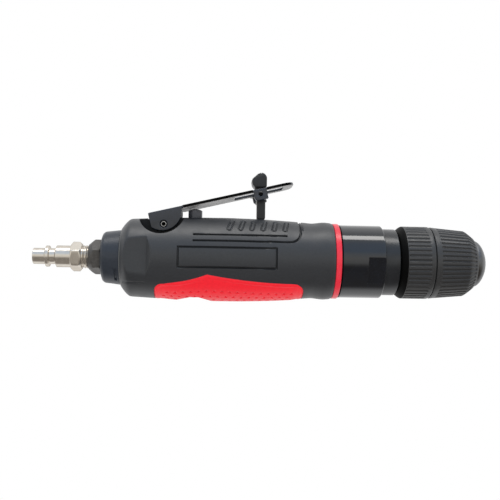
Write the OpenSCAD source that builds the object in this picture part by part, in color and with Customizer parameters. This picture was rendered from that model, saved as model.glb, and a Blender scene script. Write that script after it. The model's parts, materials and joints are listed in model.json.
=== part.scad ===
// Straight air drill with a lever throttle, a planetary gear and a keyless chuck.
// The spindle's axis is X and the chuck points along +X; the lever is up, along +Z.
// The origin is the middle of the air plug's end face. All lengths are in millimetres.

/* [Air plug] */
// Length of the plug's tip
plug_tip_len = 6.2; // [5:0.1:8]
// Radius of the plug's tip
plug_tip_r = 4.2; // [3.9:0.1:4.6]
// Length of the plug's locking ring
plug_ring_len = 2.6; // [2:0.1:3.4]
// Radius of the plug's locking ring
plug_ring_r = 5.55; // [5:0.05:6]
// Length of the neck behind the locking ring
plug_neck_len = 2.8; // [2:0.1:4]
// Radius of the neck behind the locking ring
plug_neck_r = 4.15; // [3.8:0.05:4.6]
// Length of the plug's round collar
plug_collar_len = 8.2; // [6:0.1:10]
// Radius of the plug's round collar
plug_collar_r = 5.7; // [5.2:0.1:6.2]
// Length of the plug's hexagon
plug_hex_len = 5.6; // [4.5:0.1:7]
// Width across the flats of the plug's hexagon
plug_hex_af = 13.6; // [13:0.1:15]
// Turn of the plug's hexagon about the axis
plug_hex_turn = 10; // [0:1:30]
// Length of thread left showing
plug_thread_gap = 3.6; // [2.5:0.1:4.5]
// Length of thread inside the bushing
plug_thread_in = 9; // [7:0.5:9.5]
// Crest radius of the plug's thread
plug_thread_r = 6.1; // [5.9:0.05:6.3]
// Pitch of the plug's thread
plug_thread_pitch = 1.3; // [1.1:0.1:1.5]
// Depth of the plug's thread
plug_thread_depth = 0.6; // [0.4:0.1:0.8]
// Radius of the air hole through the plug
plug_bore_r = 3; // [2.5:0.1:3.3]
// Bevel on the plug's rings
plug_bevel = 0.6; // [0.4:0.1:0.8]

/* [Inlet bushing] */
// Length of the bushing's hexagon
bush_hex_len = 6.6; // [5.8:0.1:8]
// Width across the flats of the bushing's hexagon
bush_hex_af = 16; // [15.6:0.1:17]
// Turn of the bushing's hexagon about the axis
bush_hex_turn = 11; // [0:1:30]
// Length of the cone at the bushing's rear end
bush_cone_len = 3.2; // [2:0.1:4]
// Radius of the cone at the bushing's rear end
bush_cone_r = 6.5; // [6.4:0.05:6.9]
// Radius of the journal that carries the exhaust cap
bush_journal_r = 7.3; // [7.1:0.05:7.5]
// Radius of the shank in the housing
bush_shank_r = 6.6; // [6.4:0.1:6.9]
// Length of the shank in the housing
bush_shank_len = 12; // [10:0.5:13]
// Radius of the air hole through the bushing
bush_bore_r = 4.2; // [3.5:0.1:4.6]
// Thickness of the inlet screen
screen_t = 1; // [0.8:0.1:1.2]
// Radius of the holes in the inlet screen
screen_hole_r = 1; // [0.8:0.1:1.2]

/* [Exhaust cap] */
// Length of the exhaust cap
cap_len = 9.8; // [8.5:0.1:12]
// Outside radius of the exhaust cap
cap_r = 14.45; // [14:0.05:14.6]
// Wall of the exhaust cap
cap_wall = 1.8; // [1.4:0.1:2]
// Floor of the exhaust cap
cap_floor = 2.4; // [2:0.1:3]
// Rounding of the exhaust cap's rear edge
cap_round = 4.4; // [3.5:0.1:5]
// Width of an exhaust slot
cap_slot_w = 2.4; // [1.8:0.1:3]
// Turn of the first exhaust slot from the top, away from the lever's left side
cap_slot_turn = 180; // [160:5:200]
// Thickness of the silencer ring
silencer_t = 3; // [2:0.1:3.6]

/* [Grip] */
// Gap between the grip's front rim and the trim ring
grip_short = 0.2; // [0.1:0.05:0.5]
// Wall of the grip's rear rim around the housing's neck
grip_rim_wall = 1.4; // [1.3:0.1:2]
// Length of the grip's rounded rear shoulder
grip_shoulder_len = 5.5; // [4.5:0.1:6]
// Wall of the grip at the end of its rear shoulder
grip_rear_wall = 3.3; // [3:0.1:3.8]
// Largest wall of the grip
grip_belly_wall = 4.75; // [4.4:0.05:5.2]
// Distance from the rear rim to the largest radius
grip_belly_at = 55; // [50:1:60]
// Smallest wall near the front
grip_waist_wall = 2.7; // [2.4:0.1:3.1]
// Distance from the front rim back to the smallest wall
grip_waist_back = 11.2; // [10:0.2:13]
// Wall of the swelling at the front rim
grip_flare_wall = 3.35; // [3.2:0.05:3.7]
// Distance from the front rim back to the swelling
grip_flare_back = 3.8; // [3:0.1:5]
// Wall of the front rim
grip_end_wall = 3; // [2.8:0.1:3.2]
// Wall left under a side flat
flat_wall = 1.25; // [1.1:0.05:1.8]
// Length of a side flat
flat_len = 14.2; // [12:0.2:16]
// Length of the ramp in front of a side flat
flat_ramp_len = 3.4; // [2.5:0.1:4.5]
// Distance from the front rim back to the bare side panel
panel_front = 30; // [28:0.5:34]
// Distance from the rear rim to the bare side panel
panel_at = 29.9; // [29:0.1:33]
// Height of the bare side panel
panel_h = 11.2; // [10:0.1:12]
// Distance of the panel's middle below the axis
panel_drop = 0.35; // [0.2:0.05:0.5]
// Width of the grooves in the grip
groove_w = 0.9; // [0.7:0.1:1.2]
// Depth of the grooves in the grip
groove_depth = 0.45; // [0.3:0.05:0.6]
// Height of the lower side groove above the axis
groove_low_z = 8.15; // [7.6:0.05:8.6]
// Height of the upper side groove above the axis
groove_high_z = 11.4; // [10.8:0.1:12]
// Distance from the rear rim to the start of the side grooves
groove_at = 38.2; // [37:0.2:40]
// Distance from the front rim back to the lower side groove's bend
groove_low_front = 23.3; // [22.6:0.1:24]
// Distance from the front rim back to the upper side groove
groove_high_front = 25.2; // [24:0.2:28]
// Radius of the bend of the lower side groove
groove_bend_r = 5.5; // [5:0.1:6]

/* [Red insert] */
// Distance from the grip's front rim back to the insert
insert_front = 15.6; // [15:0.2:17]
// Distance from the grip's rear rim to the insert
insert_at = 18.2; // [17.6:0.1:19]
// Thickness of the insert
insert_t = 1.6; // [1.3:0.1:1.8]
// Depth below the axis of the insert's edge at the rear
insert_rear_z = 13.4; // [12.8:0.1:14]
// Depth below the axis of the insert's peak
insert_peak_z = 8.8; // [8.2:0.1:9.6]
// Distance from the insert's rear end to its peak
insert_peak_at = 27; // [25:0.5:29]
// Depth below the axis of the insert's edge at the front
insert_front_z = 13; // [12.6:0.1:13.5]
// Rounding of the insert's corners
insert_round = 4; // [3.2:0.1:4.6]
// Half length of the notch around the regulator at the belly
notch_half = 10.3; // [10:0.1:10.6]
// Length of the notch's flat floor
notch_flat = 5; // [4:0.2:6]
// How far the insert's underside hangs below the grip's outline
insert_drop = 0.55; // [0.45:0.05:0.65]
// Length over which the insert's underside comes down at its rear
insert_fall = 13; // [11:0.5:15]
// Depth of the flat under the insert on which the drill lies
insert_flat = 0.25; // [0.2:0.05:0.3]
// Distance from the grip's largest radius to the middle of that flat
rest_ahead = 18; // [17:0.5:19]

/* [Motor housing] */
// Outside radius of the housing
housing_r = 17.2; // [17.1:0.05:17.3]
// Outside radius of the housing's rear neck
housing_neck_r = 13.6; // [13.4:0.1:14]
// Length of the housing's rear neck
housing_neck_len = 4.4; // [4:0.1:5]
// Length of the solid valve block
block_len = 52; // [51:0.2:53]
// Wall of the housing around the motor
housing_wall = 2; // [1.8:0.05:2.05]
// Radius of an exhaust hole
exhaust_r = 1.6; // [1.3:0.1:1.8]
// Distance from the motor bore's wall in to an exhaust hole's middle
exhaust_in = 3.6; // [3.4:0.1:3.8]
// Turn of an exhaust hole from the side
exhaust_turn = 22; // [18:1:26]
// Radius of the inlet passage
inlet_r = 2.2; // [1.8:0.1:2.4]
// Radius of the passage to the motor
feed_r = 1.6; // [1.3:0.1:1.8]
// Distance from the motor bore's wall in to the passage's end
feed_in = 3.4; // [3.2:0.1:3.6]

/* [Throttle lever] */
// Distance from the housing's rear face to the valve
valve_at = 38.3; // [37.8:0.1:38.8]
// Distance from the lever's pin to the valve
lever_arm = 16.2; // [16:0.1:17]
// Height of the lever's pin above the housing's surface
lever_pin_rise = 0.2; // [0:0.1:0.4]
// Radius of the lever's pin
lever_pin_r = 1.5; // [1.3:0.05:1.6]
// Radius of the hole in the lever's roll pin
lever_pin_hole_r = 0.8; // [0.6:0.05:0.9]
// Slope of the lever at rest
lever_slope = 13.5; // [13:0.1:14]
// Thickness of the lever's sheet
lever_t = 2; // [1.7:0.1:2.1]
// Distance from the pin to the lever's underside
lever_rise = 5.4; // [5.2:0.1:5.6]
// Width of the lever over its ears
lever_w = 16; // [15.5:0.1:16.4]
// Reach of the lever's plate beyond its ears
lever_lip = 1.7; // [1.4:0.1:1.9]
// Length of the lever in front of its slot
lever_tip_len = 5.5; // [5.4:0.1:6.4]
// Length of the lever behind its pin
lever_back = 6.8; // [6.6:0.1:7]
// Rounding of the lever's tip
lever_tip_round = 5.5; // [4:0.1:6.5]
// Radius of the lever's ears
ear_r = 10.2; // [10:0.1:10.4]
// Height of the ears' centre above the pin
ear_rise = 6.7; // [6.5:0.1:6.9]
// Shift of the ears' centre along the lever
ear_shift = 0.6; // [0.4:0.1:0.8]
// Distance along the lever from the ears' end to the start of the wider plate
lip_gap = 0.6; // [0.5:0.1:0.9]
// Half the width of the housing's lug
lug_half = 5.6; // [5.2:0.1:5.7]
// Radius of the housing's lug about the pin
lug_r = 4.4; // [4:0.1:4.4]
// Radius of the pocket around the ears
scoop_r = 12.15; // [12.1:0.05:12.25]
// Height of the pocket's centre above the pin
scoop_rise = 6.25; // [6.2:0.05:6.35]
// Distance of the pocket's centre behind the pin
scoop_back = 1.15; // [1.05:0.05:1.25]
// Height above the pin of the grip's low ridge behind the lug
ridge_rise = 2.6; // [2.4:0.1:2.7]
// Distance from the pin back to the start of the low ridge
ridge_back = 8.7; // [8:0.1:9.4]

/* [Safety lock] */
// Distance along the lever from its pin to the lock's pin
lock_at = 53; // [52.5:0.1:53.5]
// Distance from the lock's pin up to the lever's underside
lock_drop = 0.8; // [0.7:0.1:1]
// Radius of the lock's pin
lock_pin_r = 1; // [0.8:0.05:1.1]
// Length of a lock tab along the lever
tab_len = 7.2; // [6.4:0.1:8]
// Depth of a lock tab below the lever's underside
tab_drop = 3.9; // [3.6:0.1:4.1]
// Length of the slot behind the lock's pin
slot_back = 14; // [13.8:0.1:15]
// Length of the slot in front of the lock's pin
slot_front = 12.8; // [12.7:0.1:13]
// Half the width of the lock's leg
lock_half = 3.1; // [2.8:0.1:3.2]
// Half the width of the lock's thumb tab
thumb_half = 5; // [4.4:0.1:5.3]
// Length of the leg below the lock's pin
leg_len = 12.8; // [12.2:0.1:13]
// Thickness of the leg
leg_t = 4; // [3.4:0.1:4.1]
// Distance of the leg's middle in front of the pin
leg_shift = 0.6; // [0.4:0.1:0.8]
// Radius of the lock's hub
lock_hub_r = 2.9; // [2.6:0.1:3]
// Height of the thumb tab's upper round above the pin
thumb_z = 8.9; // [8.5:0.1:9]
// Radius of the thumb tab's upper round
thumb_r = 3.1; // [2.8:0.1:3.2]
// Height of the thumb tab's lower edge above the pin
thumb_low_z = 4; // [3.8:0.1:4.4]
// Reach of the thumb tab in front of the pin
thumb_front = 3.7; // [3.5:0.1:3.8]
// Reach of the thumb tab behind the pin
thumb_back = 3.6; // [3:0.1:3.7]
// Wire radius of the lock's spring
lock_wire_r = 0.28; // [0.22:0.02:0.3]
// Coil radius of the lock's spring
lock_coil_r = 1.9; // [1.7:0.1:2]
// Length of a leg of the lock's spring
lock_wire_leg = 5.4; // [4.5:0.1:6]
// Half the width of the grip's pocket under the lock
pocket_half = 4.2; // [4:0.1:4.6]
// Wall left under the grip's pocket
pocket_wall = 2.2; // [2:0.1:2.3]
// Length of the grip's pocket behind the lock
pocket_back = 13; // [12.8:0.1:14]
// Length of the grip's pocket in front of the lock
pocket_front = 15; // [14:0.5:16]

/* [Throttle valve] */
// Radius of the valve bore in the housing
valve_bore_r = 4.8; // [4.75:0.05:4.9]
// Depth of the valve bushing's upper end below the housing's surface
valve_sunk = 3.7; // [3.4:0.1:4.2]
// Height of the valve seat
valve_seat_z = 0.9; // [0.8:0.1:1.4]
// Radius of the chamber in the valve bushing
valve_chamber_r = 3.1; // [2.9:0.1:3.2]
// Height of the chamber in the valve bushing
valve_chamber_len = 7.2; // [6.5:0.1:8]
// Radius of the port in the valve bushing
valve_port_r = 1.8; // [1.5:0.1:2]
// Radius of the push button
button_r = 3.7; // [3.5:0.05:3.75]
// Height of the push button's lower face above the housing's surface
button_rise = 0.7; // [0.3:0.1:1]
// Radius of the push button's dome
button_dome_r = 7; // [6.8:0.1:7.6]
// Radius of the valve stem
stem_r = 1.9; // [1.7:0.1:2]
// Radius of the valve head
head_r = 3.8; // [3.7:0.1:4]
// Thickness of the valve head
head_t = 2.9; // [2.5:0.1:3.2]
// Wire radius of the valve's seal ring
seal_wire_r = 0.5; // [0.45:0.05:0.55]
// Wire radius of the valve's spring
spring_wire_r = 0.35; // [0.3:0.02:0.4]
// Coil radius of the valve's spring
spring_coil_r = 2.7; // [2.4:0.1:2.9]
// Depth of the regulator's upper face in the housing
reg_sunk = 5.7; // [5.4:0.1:6]
// Reach of the regulator's flat end below the housing
reg_reach = 3.2; // [3:0.05:3.3]
// Depth of the regulator's pin in the housing
reg_pin_sunk = 1.8; // [1.6:0.1:2]
// Radius of the regulator's pin
reg_pin_r = 0.75; // [0.6:0.05:0.8]
// Length of the regulator's pin
reg_pin_len = 12; // [10:0.5:13]
// Depth of the regulator's pin groove
reg_groove_depth = 1.1; // [0.9:0.1:1.3]
// Width of the regulator's screwdriver slot
reg_slot_w = 1.2; // [1:0.1:1.5]
// Wire radius of the regulator's seal ring
reg_seal_r = 0.6; // [0.5:0.05:0.65]

/* [Air motor] */
// Length of the rear end plate
rear_plate_len = 8; // [7.6:0.1:8.6]
// Length of the motor cylinder
cylinder_len = 36; // [35:0.2:36.6]
// Length of the front end plate
front_plate_len = 9; // [8.6:0.1:9.4]
// Wall of the cylinder around its bore
cylinder_wall = 2.8; // [2.6:0.05:2.85]
// Offset of the cylinder's bore
cylinder_offset = 1.4; // [1.2:0.05:1.4]
// Gap between the rotor and the near side of the bore
rotor_clear = 0.1; // [0.1:0.05:0.3]
// Number of rotor blades
blade_count = 5; // [4:1:6]
// Thickness of a rotor blade
blade_t = 1.5; // [1.3:0.1:1.7]
// Height of a rotor blade
blade_h = 5; // [4.5:0.1:5.2]
// Radius of the cylinder pin
cylinder_pin_r = 1; // [0.8:0.05:1.1]
// Depth of the cylinder pin's middle in the motor's outside
cylinder_pin_in = 2; // [1.9:0.05:2.2]
// Bore radius of the rear motor bearing
rear_bearing_ri = 3; // [2.8:0.1:3.2]
// Wall of the rear end plate around its bearing
rear_plate_wall = 5.7; // [5.6:0.1:6]
// Width of the rear motor bearing
rear_bearing_w = 6; // [5.5:0.1:6.2]
// Bore radius of the front motor bearing
front_bearing_ri = 4.5; // [4.4:0.1:4.7]
// Wall of the front end plate around its bearing
front_plate_wall = 3.2; // [3:0.1:3.4]
// Width of the front motor bearing
front_bearing_w = 7; // [6.5:0.1:7.2]

/* [Gear case] */
// Length of the red trim ring
trim_len = 3.2; // [2.8:0.1:3.8]
// Step of the red trim ring below the grip's front rim
trim_step = 0.2; // [0:0.1:0.5]
// Length of the gear case
case_len = 22.8; // [22.4:0.1:23.6]
// Radius of the gear case
case_r = 19.3; // [19.1:0.1:19.6]
// Bevel of the gear case's edges
case_bevel = 0.6; // [0.4:0.1:0.8]
// Length of the gear case's spigot in the housing
spigot_len = 6; // [5:0.1:7]
// Wall of the gear case's spigot
spigot_wall = 2.8; // [2.4:0.1:3.2]
// Wall of the gear case around the ring gear
case_wall = 2.5; // [2.4:0.05:2.8]
// Distance from the shoulder to the ring gear
ring_at = 1.4; // [1.2:0.1:1.6]
// Length of a spanner flat
spanner_len = 9.2; // [8:0.1:10]
// Depth of a spanner flat
spanner_depth = 1.3; // [1:0.05:1.4]
// Turn of the spanner flats
spanner_turn = 17.5; // [0:0.5:30]
// Length of the nose cap outside the gear case
nose_len = 7.7; // [7.4:0.1:8.4]
// Radius of the nose cap
nose_r = 17.65; // [17.3:0.05:17.9]
// Wall between the last bearing and the nose cap's front
nose_lip = 0.8; // [0.6:0.1:1]
// Hole radius of the nose cap's front wall
nose_hole_r = 9.5; // [8.5:0.1:10]
// Bore radius of a spindle bearing
spindle_bearing_ri = 6; // [5.8:0.1:6.2]
// Outside radius of a spindle bearing
spindle_bearing_ro = 12; // [11.8:0.1:12.2]
// Width of a spindle bearing
spindle_bearing_w = 6; // [5.6:0.1:6.2]

/* [Planetary gear] */
// Wall of the ring gear behind its teeth
ring_wall = 1.77; // [1.6:0.01:2]
// Width of the ring gear
ring_gear_w = 10; // [9.6:0.1:10.2]
// Width of a planet gear
planet_w = 8.8; // [8:0.1:9]
// Radius of a planet pin
planet_pin_r = 1.95; // [1.8:0.05:2.1]
// Thinning of the teeth for backlash
gear_thin = 0.12; // [0.1:0.01:0.14]
// Reach of the planet carrier beyond the planet pins' circle
carrier_rim = 3.6; // [3.2:0.1:3.8]
// Thickness of the planet carrier
carrier_t = 3.6; // [3.2:0.1:3.8]

/* [Chuck] */
// Length of the rear sleeve
rear_sleeve_len = 18; // [17.6:0.1:18.6]
// Wall of the rear sleeve
sleeve_wall = 2.3; // [2:0.1:2.6]
// Drop of the bevel at the rear sleeve's small end
rear_sleeve_drop = 2.3; // [1.8:0.1:2.7]
// Length of the bevel at the rear sleeve's small end
rear_sleeve_bevel = 2.8; // [2.2:0.1:3.2]
// Floor of the rear sleeve
rear_sleeve_floor = 3; // [2.6:0.1:3.4]
// Room between the open jaws and the rear sleeve
jaw_room = 0.45; // [0.4:0.05:0.7]
// Length of the front sleeve
front_sleeve_len = 23.4; // [23:0.1:24]
// Radius of the front sleeve at its rear edge
front_sleeve_r = 19.1; // [18.9:0.1:19.4]
// Radius of the front sleeve where its dome begins
front_dome_r = 17.5; // [17.2:0.1:17.7]
// Length of the front sleeve's dome
front_dome_len = 5.2; // [4.8:0.1:5.6]
// Radius of the front sleeve's front lip
front_lip_r = 13.9; // [13.8:0.1:14.3]
// Number of grip grooves around a sleeve
sleeve_grooves = 48; // [40:1:50]
// Radius of a grip groove
sleeve_groove_r = 0.75; // [0.65:0.05:0.8]
// Depth of a grip groove
sleeve_groove_depth = 0.45; // [0.35:0.05:0.5]
// Radius of the chuck body's hub
hub_r = 10; // [9.7:0.1:10.2]
// Length of the chuck body's hub
hub_len = 5.7; // [5.4:0.1:6]
// Radius of the chuck body
body_r = 16; // [15.9:0.1:16.1]
// Length of the chuck body's thick part
body_len = 12; // [11.6:0.1:12.2]
// Radius of the chuck body's nut groove
nut_groove_r = 12; // [11.8:0.1:12.05]
// Length of the chuck body's nut groove
nut_groove_len = 11.5; // [11.2:0.1:11.6]
// Radius of the chuck body in front of the nut
body_front_r = 12.6; // [12.5:0.05:12.7]
// Length of the steel nose in front of the sleeves
steel_nose_len = 5.9; // [5.7:0.1:6.3]
// Radius of the steel nose's front face
steel_nose_r = 7; // [6.8:0.1:7.2]
// Radius of the hole for the drill's shank
shank_r = 5.15; // [5.1:0.05:5.2]
// Depth of the hole for the drill's shank
shank_len = 30; // [29.4:0.1:30.2]
// Slant of the jaws
jaw_slant = 13; // [12.9:0.1:13.1]
// Radius of a jaw
jaw_r = 3; // [2.9:0.05:3.05]
// Distance from the steel nose's face to the open jaws' tips
jaw_tip_back = 7.7; // [7.5:0.1:7.9]
// Distance from the axis to a jaw's own axis at its tip
jaw_axis_r = 5.9; // [5.85:0.05:6]
// Room behind the open jaws
jaw_back = 1.1; // [0.9:0.1:1.8]
// Distance from the axis to an open jaw's land
jaw_land_r = 5.25; // [5.25:0.05:5.3]
// Height of a jaw's land above the point where its sides meet
jaw_land_h = 0.5; // [0.4:0.05:0.5]
// Length of the chuck nut
nut_len = 6; // [5.6:0.1:6.2]
// Outside radius of the chuck nut
nut_r = 15.4; // [15.2:0.1:15.5]
// Outside radius of the nut's collar
collar_r = 16.3; // [16.1:0.1:16.4]
// Thickness of the thrust washer
thrust_t = 3.4; // [3:0.1:3.6]
// Inside radius of the thrust washer
thrust_ri = 14.4; // [14.35:0.05:14.7]
// Radius of the spindle's thread
spindle_thread_r = 4.76; // [4.6:0.02:4.8]
// Length of the spindle's thread
spindle_thread_len = 12.8; // [12:0.1:13]
// Radius of the chuck screw's head
screw_head_r = 4.4; // [4:0.1:4.5]
// Length of the chuck screw's head
screw_head_len = 3; // [2.6:0.1:3.2]
// Radius of the chuck screw's shank
screw_r = 2.5; // [2.2:0.1:2.7]
// Length of the chuck screw's shank
screw_len = 8; // [7:0.5:9]

/* [Clearances] */
// Gap between outer faces that move past each other
run_gap = 0.3; // [0.25:0.05:0.4]
// Radial gap of a turning or sliding fit
pin_gap = 0.06; // [0.05:0.01:0.08]
// Radial gap of a seated fit
fit_gap = 0.03; // [0.02:0.01:0.05]
// Radial gap around balls, blades and inner parts
inner_gap = 0.12; // [0.1:0.01:0.15]

/* [Hidden] */
$fn = 64;
over = 1;
ball_share = 0.26;
lip_share = 0.14;
addendum_share = 0.8;
dedendum_share = 1.05;
shoulder_power = 1.6;
dome_power = 1.15;
nose_power = 2.4;
curve_steps = 8;
sun_teeth = 12;
planet_teeth = 18;
ring_teeth = 48;
pressure_angle = 20;
planet_angles = [90, 210, 330];
jaw_angles = [0, 120, 240];
rear_balls = 7;
front_balls = 7;
spindle_balls = 12;
valve_turns = 5;
lock_turns = 1.75;
coil_rings = 8;
wire_sides = 6;

housing_len = block_len + rear_plate_len + cylinder_len + front_plate_len + spigot_len;
motor_bore_r = housing_r - housing_wall;
exhaust_at = motor_bore_r - exhaust_in;
feed_z = motor_bore_r - feed_in;
rear_bearing_ro = motor_bore_r - rear_plate_wall;
front_bearing_ro = motor_bore_r - front_plate_wall;
lever_len = lock_at + slot_front + lever_tip_len;
grip_len = housing_len - grip_short;
grip_rim_r = housing_neck_r + grip_rim_wall;
grip_rear_r = housing_r + grip_rear_wall;
grip_belly_r = housing_r + grip_belly_wall;
insert_low_r = grip_belly_r + insert_drop;
grip_waist_r = housing_r + grip_waist_wall;
grip_waist_at = grip_len - grip_waist_back;
grip_flare_r = housing_r + grip_flare_wall;
grip_flare_at = grip_len - grip_flare_back;
grip_end_r = housing_r + grip_end_wall;
flat_apothem = housing_r + flat_wall;
panel_len = grip_len - panel_at - panel_front;
groove_low_len = grip_len - groove_at - groove_low_front;
groove_high_len = grip_len - groove_at - groove_high_front;
insert_len = grip_len - insert_at - insert_front;
lever_pin_z = housing_r + lever_pin_rise;
pocket_z = housing_r + pocket_wall;
valve_top_z = housing_r - valve_sunk;
button_low_z = housing_r + button_rise;
reg_top_z = housing_r - reg_sunk;
reg_end_z = housing_r + reg_reach;
reg_pin_z = housing_r - reg_pin_sunk;
cylinder_bore_r = motor_bore_r - cylinder_wall;
rotor_r = cylinder_bore_r - cylinder_offset - rotor_clear;
cylinder_pin_at = motor_bore_r - cylinder_pin_in;
trim_r = grip_end_r - trim_step;
case_bore_r = motor_bore_r - spigot_wall;
ring_gear_r = case_r - case_wall;
gear_module = (ring_gear_r - ring_wall) / (ring_teeth / 2 + dedendum_share);

x_ring = plug_tip_len;
x_neck = x_ring + plug_ring_len;
x_collar = x_neck + plug_neck_len;
x_hex = x_collar + plug_collar_len;
x_thread = x_hex + plug_hex_len;
x_bush = x_thread + plug_thread_gap;
x_seat = x_bush + bush_hex_len;
x_cap = x_seat + run_gap;
x_rear = x_cap + cap_len + run_gap;
x_valve = x_rear + valve_at;
x_pivot = x_valve - lever_arm;
x_block = x_rear + block_len;
x_cyl = x_block + rear_plate_len;
x_cyl_end = x_cyl + cylinder_len;
x_plates = x_cyl_end + front_plate_len;
x_front = x_rear + housing_len;
x_case = x_front + trim_len;
x_ringgear = x_case + ring_at;
x_carrier = x_ringgear + ring_gear_w + fit_gap + run_gap;
x_shoulder = x_carrier + carrier_t;
x_nose = x_case + case_len;
x_nose_end = x_nose + nose_len;
x_bear_b = x_nose_end - nose_lip - spindle_bearing_w;
x_bear_a = x_bear_b - run_gap - spindle_bearing_w;
x_chuck = x_nose_end + run_gap;
x_body = x_chuck + run_gap;
x_thick = x_body + hub_len;
x_groove = x_thick + body_len;
x_land = x_groove + nut_groove_len;
x_split = x_chuck + rear_sleeve_len;
x_fsleeve = x_split + run_gap;
x_fend = x_fsleeve + front_sleeve_len;
x_end = x_fend + steel_nose_len;
x_jaw = x_end - jaw_tip_back;
x_shank = x_end - shank_len;
jaw_len = x_jaw - x_thick - jaw_back;
x_nut = x_groove + thrust_t + 2 * run_gap;
x_fin = x_land + run_gap;

lug_x = x_pivot - scoop_back;
scoop_z = lever_pin_z + scoop_rise;
lever_top = lever_rise + lever_t;
rail_in = lever_w / 2 - lever_t;
lock_z = lever_rise - lock_drop;
lock_x = x_pivot + lock_at * cos(lever_slope) - lock_z * sin(lever_slope);
lock_up = lever_pin_z + lock_at * sin(lever_slope) + lock_z * cos(lever_slope);
dome_z = lever_pin_z + (lever_rise - button_dome_r - inner_gap + lever_arm * sin(lever_slope))
  / cos(lever_slope);
head_top_z = valve_seat_z - 2 * seal_wire_r - fit_gap;
head_low_z = head_top_z - head_t;
sun_r = gear_module * sun_teeth / 2;
planet_at = gear_module * (sun_teeth + planet_teeth) / 2;
journal_r = spindle_bearing_ri - fit_gap;
carrier_r = planet_at + carrier_rim;
jaw_reach = jaw_r / cos(jaw_slant);
rear_sleeve_in_r = jaw_axis_r + jaw_len * tan(jaw_slant) + jaw_reach + jaw_room;
sleeve_r = rear_sleeve_in_r + sleeve_wall;
rear_sleeve_end_r = sleeve_r - rear_sleeve_drop;

function smooth(t) = t * t * (3 - 2 * t);
function unit(v) = v / norm(v);
function flip(v) = [for (i = [len(v) - 1:-1:0]) v[i]];
function arc(cx, cy, r, a, b) = [for (i = [0:curve_steps])
  let (g = a + (b - a) * i / curve_steps) [cx + r * cos(g), cy + r * sin(g)]];

// Outline of the grip as [place along the axis, radius].
function grip_curve(cut) = concat(
  [for (i = [0:curve_steps - 1]) let (t = i / curve_steps)
    [x_rear + grip_shoulder_len * t,
     grip_rear_r - (grip_rear_r - grip_rim_r) * pow(1 - t, shoulder_power) - cut]],
  [for (i = [0:curve_steps - 1]) let (t = i / curve_steps)
    [x_rear + grip_shoulder_len + (grip_belly_at - grip_shoulder_len) * t,
     grip_belly_r - (grip_belly_r - grip_rear_r) * pow(1 - t, 2) - cut]],
  [for (i = [0:curve_steps - 1]) let (t = i / curve_steps)
    [x_rear + grip_belly_at + (grip_waist_at - grip_belly_at) * t,
     grip_belly_r - (grip_belly_r - grip_waist_r) * pow(t, 2) - cut]],
  [for (i = [0:curve_steps]) let (t = i / curve_steps)
    [x_rear + grip_waist_at + (grip_flare_at - grip_waist_at) * t,
     grip_waist_r + (grip_flare_r - grip_waist_r) * smooth(t) - cut]],
  [[x_rear + grip_len, grip_end_r - cut]]);

// Outline of the insert's hanging underside, which runs out to the grip's at both ends.
function insert_hang(x) = smooth(max(0, min(1, (x - x_rear - insert_at) / insert_fall,
  2 * (x_rear + insert_at + insert_len - x) / insert_fall)));
function insert_curve() = [for (p = grip_curve(0))
  [p[0], p[1] - insert_drop * (1 - insert_hang(p[0]))]];

// Side view of the red insert, wider by the given gap.
function insert_edge(gap) = let (
    xa = x_rear + insert_at - gap,
    xb = x_rear + insert_at + insert_len + gap,
    xp = x_rear + insert_at + insert_peak_at,
    za = gap - insert_rear_z,
    zb = gap - insert_front_z,
    zp = gap - insert_peak_z,
    r = insert_round)
  concat(
    [[xa, -2 * grip_belly_r]],
    arc(xa + r, za - r, r, 180, 90),
    [for (i = [1:curve_steps]) let (t = i / curve_steps)
      [xa + r + (xp - xa - r) * t, za + (zp - za) * pow(t, 2)]],
    [for (i = [1:curve_steps - 1]) let (t = i / curve_steps)
      [xp + (xb - r - xp) * t, zb + (zp - zb) * pow(1 - t, 2)]],
    arc(xb - r, zb - r, r, 90, 0),
    [[xb, -2 * grip_belly_r]]);

// Outline of a gear with the given reach above and below its pitch circle.
function roll(rb, r) = sqrt(max(0, r * r / (rb * rb) - 1));
function spread(rb, r) = roll(rb, r) * 180 / PI - atan(roll(rb, r));
function gear_edge(z, above, below, thin) = let (
    rp = gear_module * z / 2,
    rb = rp * cos(pressure_angle),
    ra = rp + above,
    rr = rp - below,
    rs = max(rb, rr),
    half = 90 / z - thin / rp * 90 / PI + spread(rb, rp),
    side = [for (i = [0:3]) let (r = rs + (ra - rs) * i / 3) [r, half - spread(rb, r)]],
    flank = rr < rb ? concat([[rr, half]], side) : side)
  [for (n = [0:z - 1], s = [0:1], p = s == 0 ? flank : flip(flank))
    let (g = 360 * n / z + (s == 0 ? -p[1] : p[1])) [p[0] * cos(g), p[0] * sin(g)]];

// Centre lines of the two springs, and the least gap of a wire to itself.
valve_helix = let (low = spring_wire_r + fit_gap - reg_top_z, high = head_low_z - spring_wire_r - fit_gap)
  [for (i = [0:valve_turns * coil_rings]) let (g = 360 * i / coil_rings)
    [x_valve + spring_coil_r * cos(g), spring_coil_r * sin(g),
     low + (high - low) * i / (valve_turns * coil_rings)]];
lock_y0 = lock_half + lock_wire_r + inner_gap;
lock_y1 = rail_in - lock_wire_r - inner_gap;
lock_steps = lock_turns * coil_rings;
lock_helix = concat(
  [[lock_coil_r * cos(180) - lock_wire_r, -lock_y0, -lock_wire_leg]],
  [for (i = [0:lock_steps]) let (g = 180 - 360 * i / coil_rings)
    [lock_coil_r * cos(g), -lock_y0 - (lock_y1 - lock_y0) * i / lock_steps, lock_coil_r * sin(g)]],
  [[-lock_wire_leg, -lock_y1, -lock_coil_r]]);
function least_gap(pts, r) = min([for (i = [0:len(pts) - 1], j = [0:len(pts) - 1])
  if (j - i > coil_rings / 2) norm(pts[j] - pts[i]) - 2 * r]);
echo(valve_spring_gap = least_gap(valve_helix, spring_wire_r));
echo(lock_spring_gap = least_gap(lock_helix, lock_wire_r));

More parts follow.
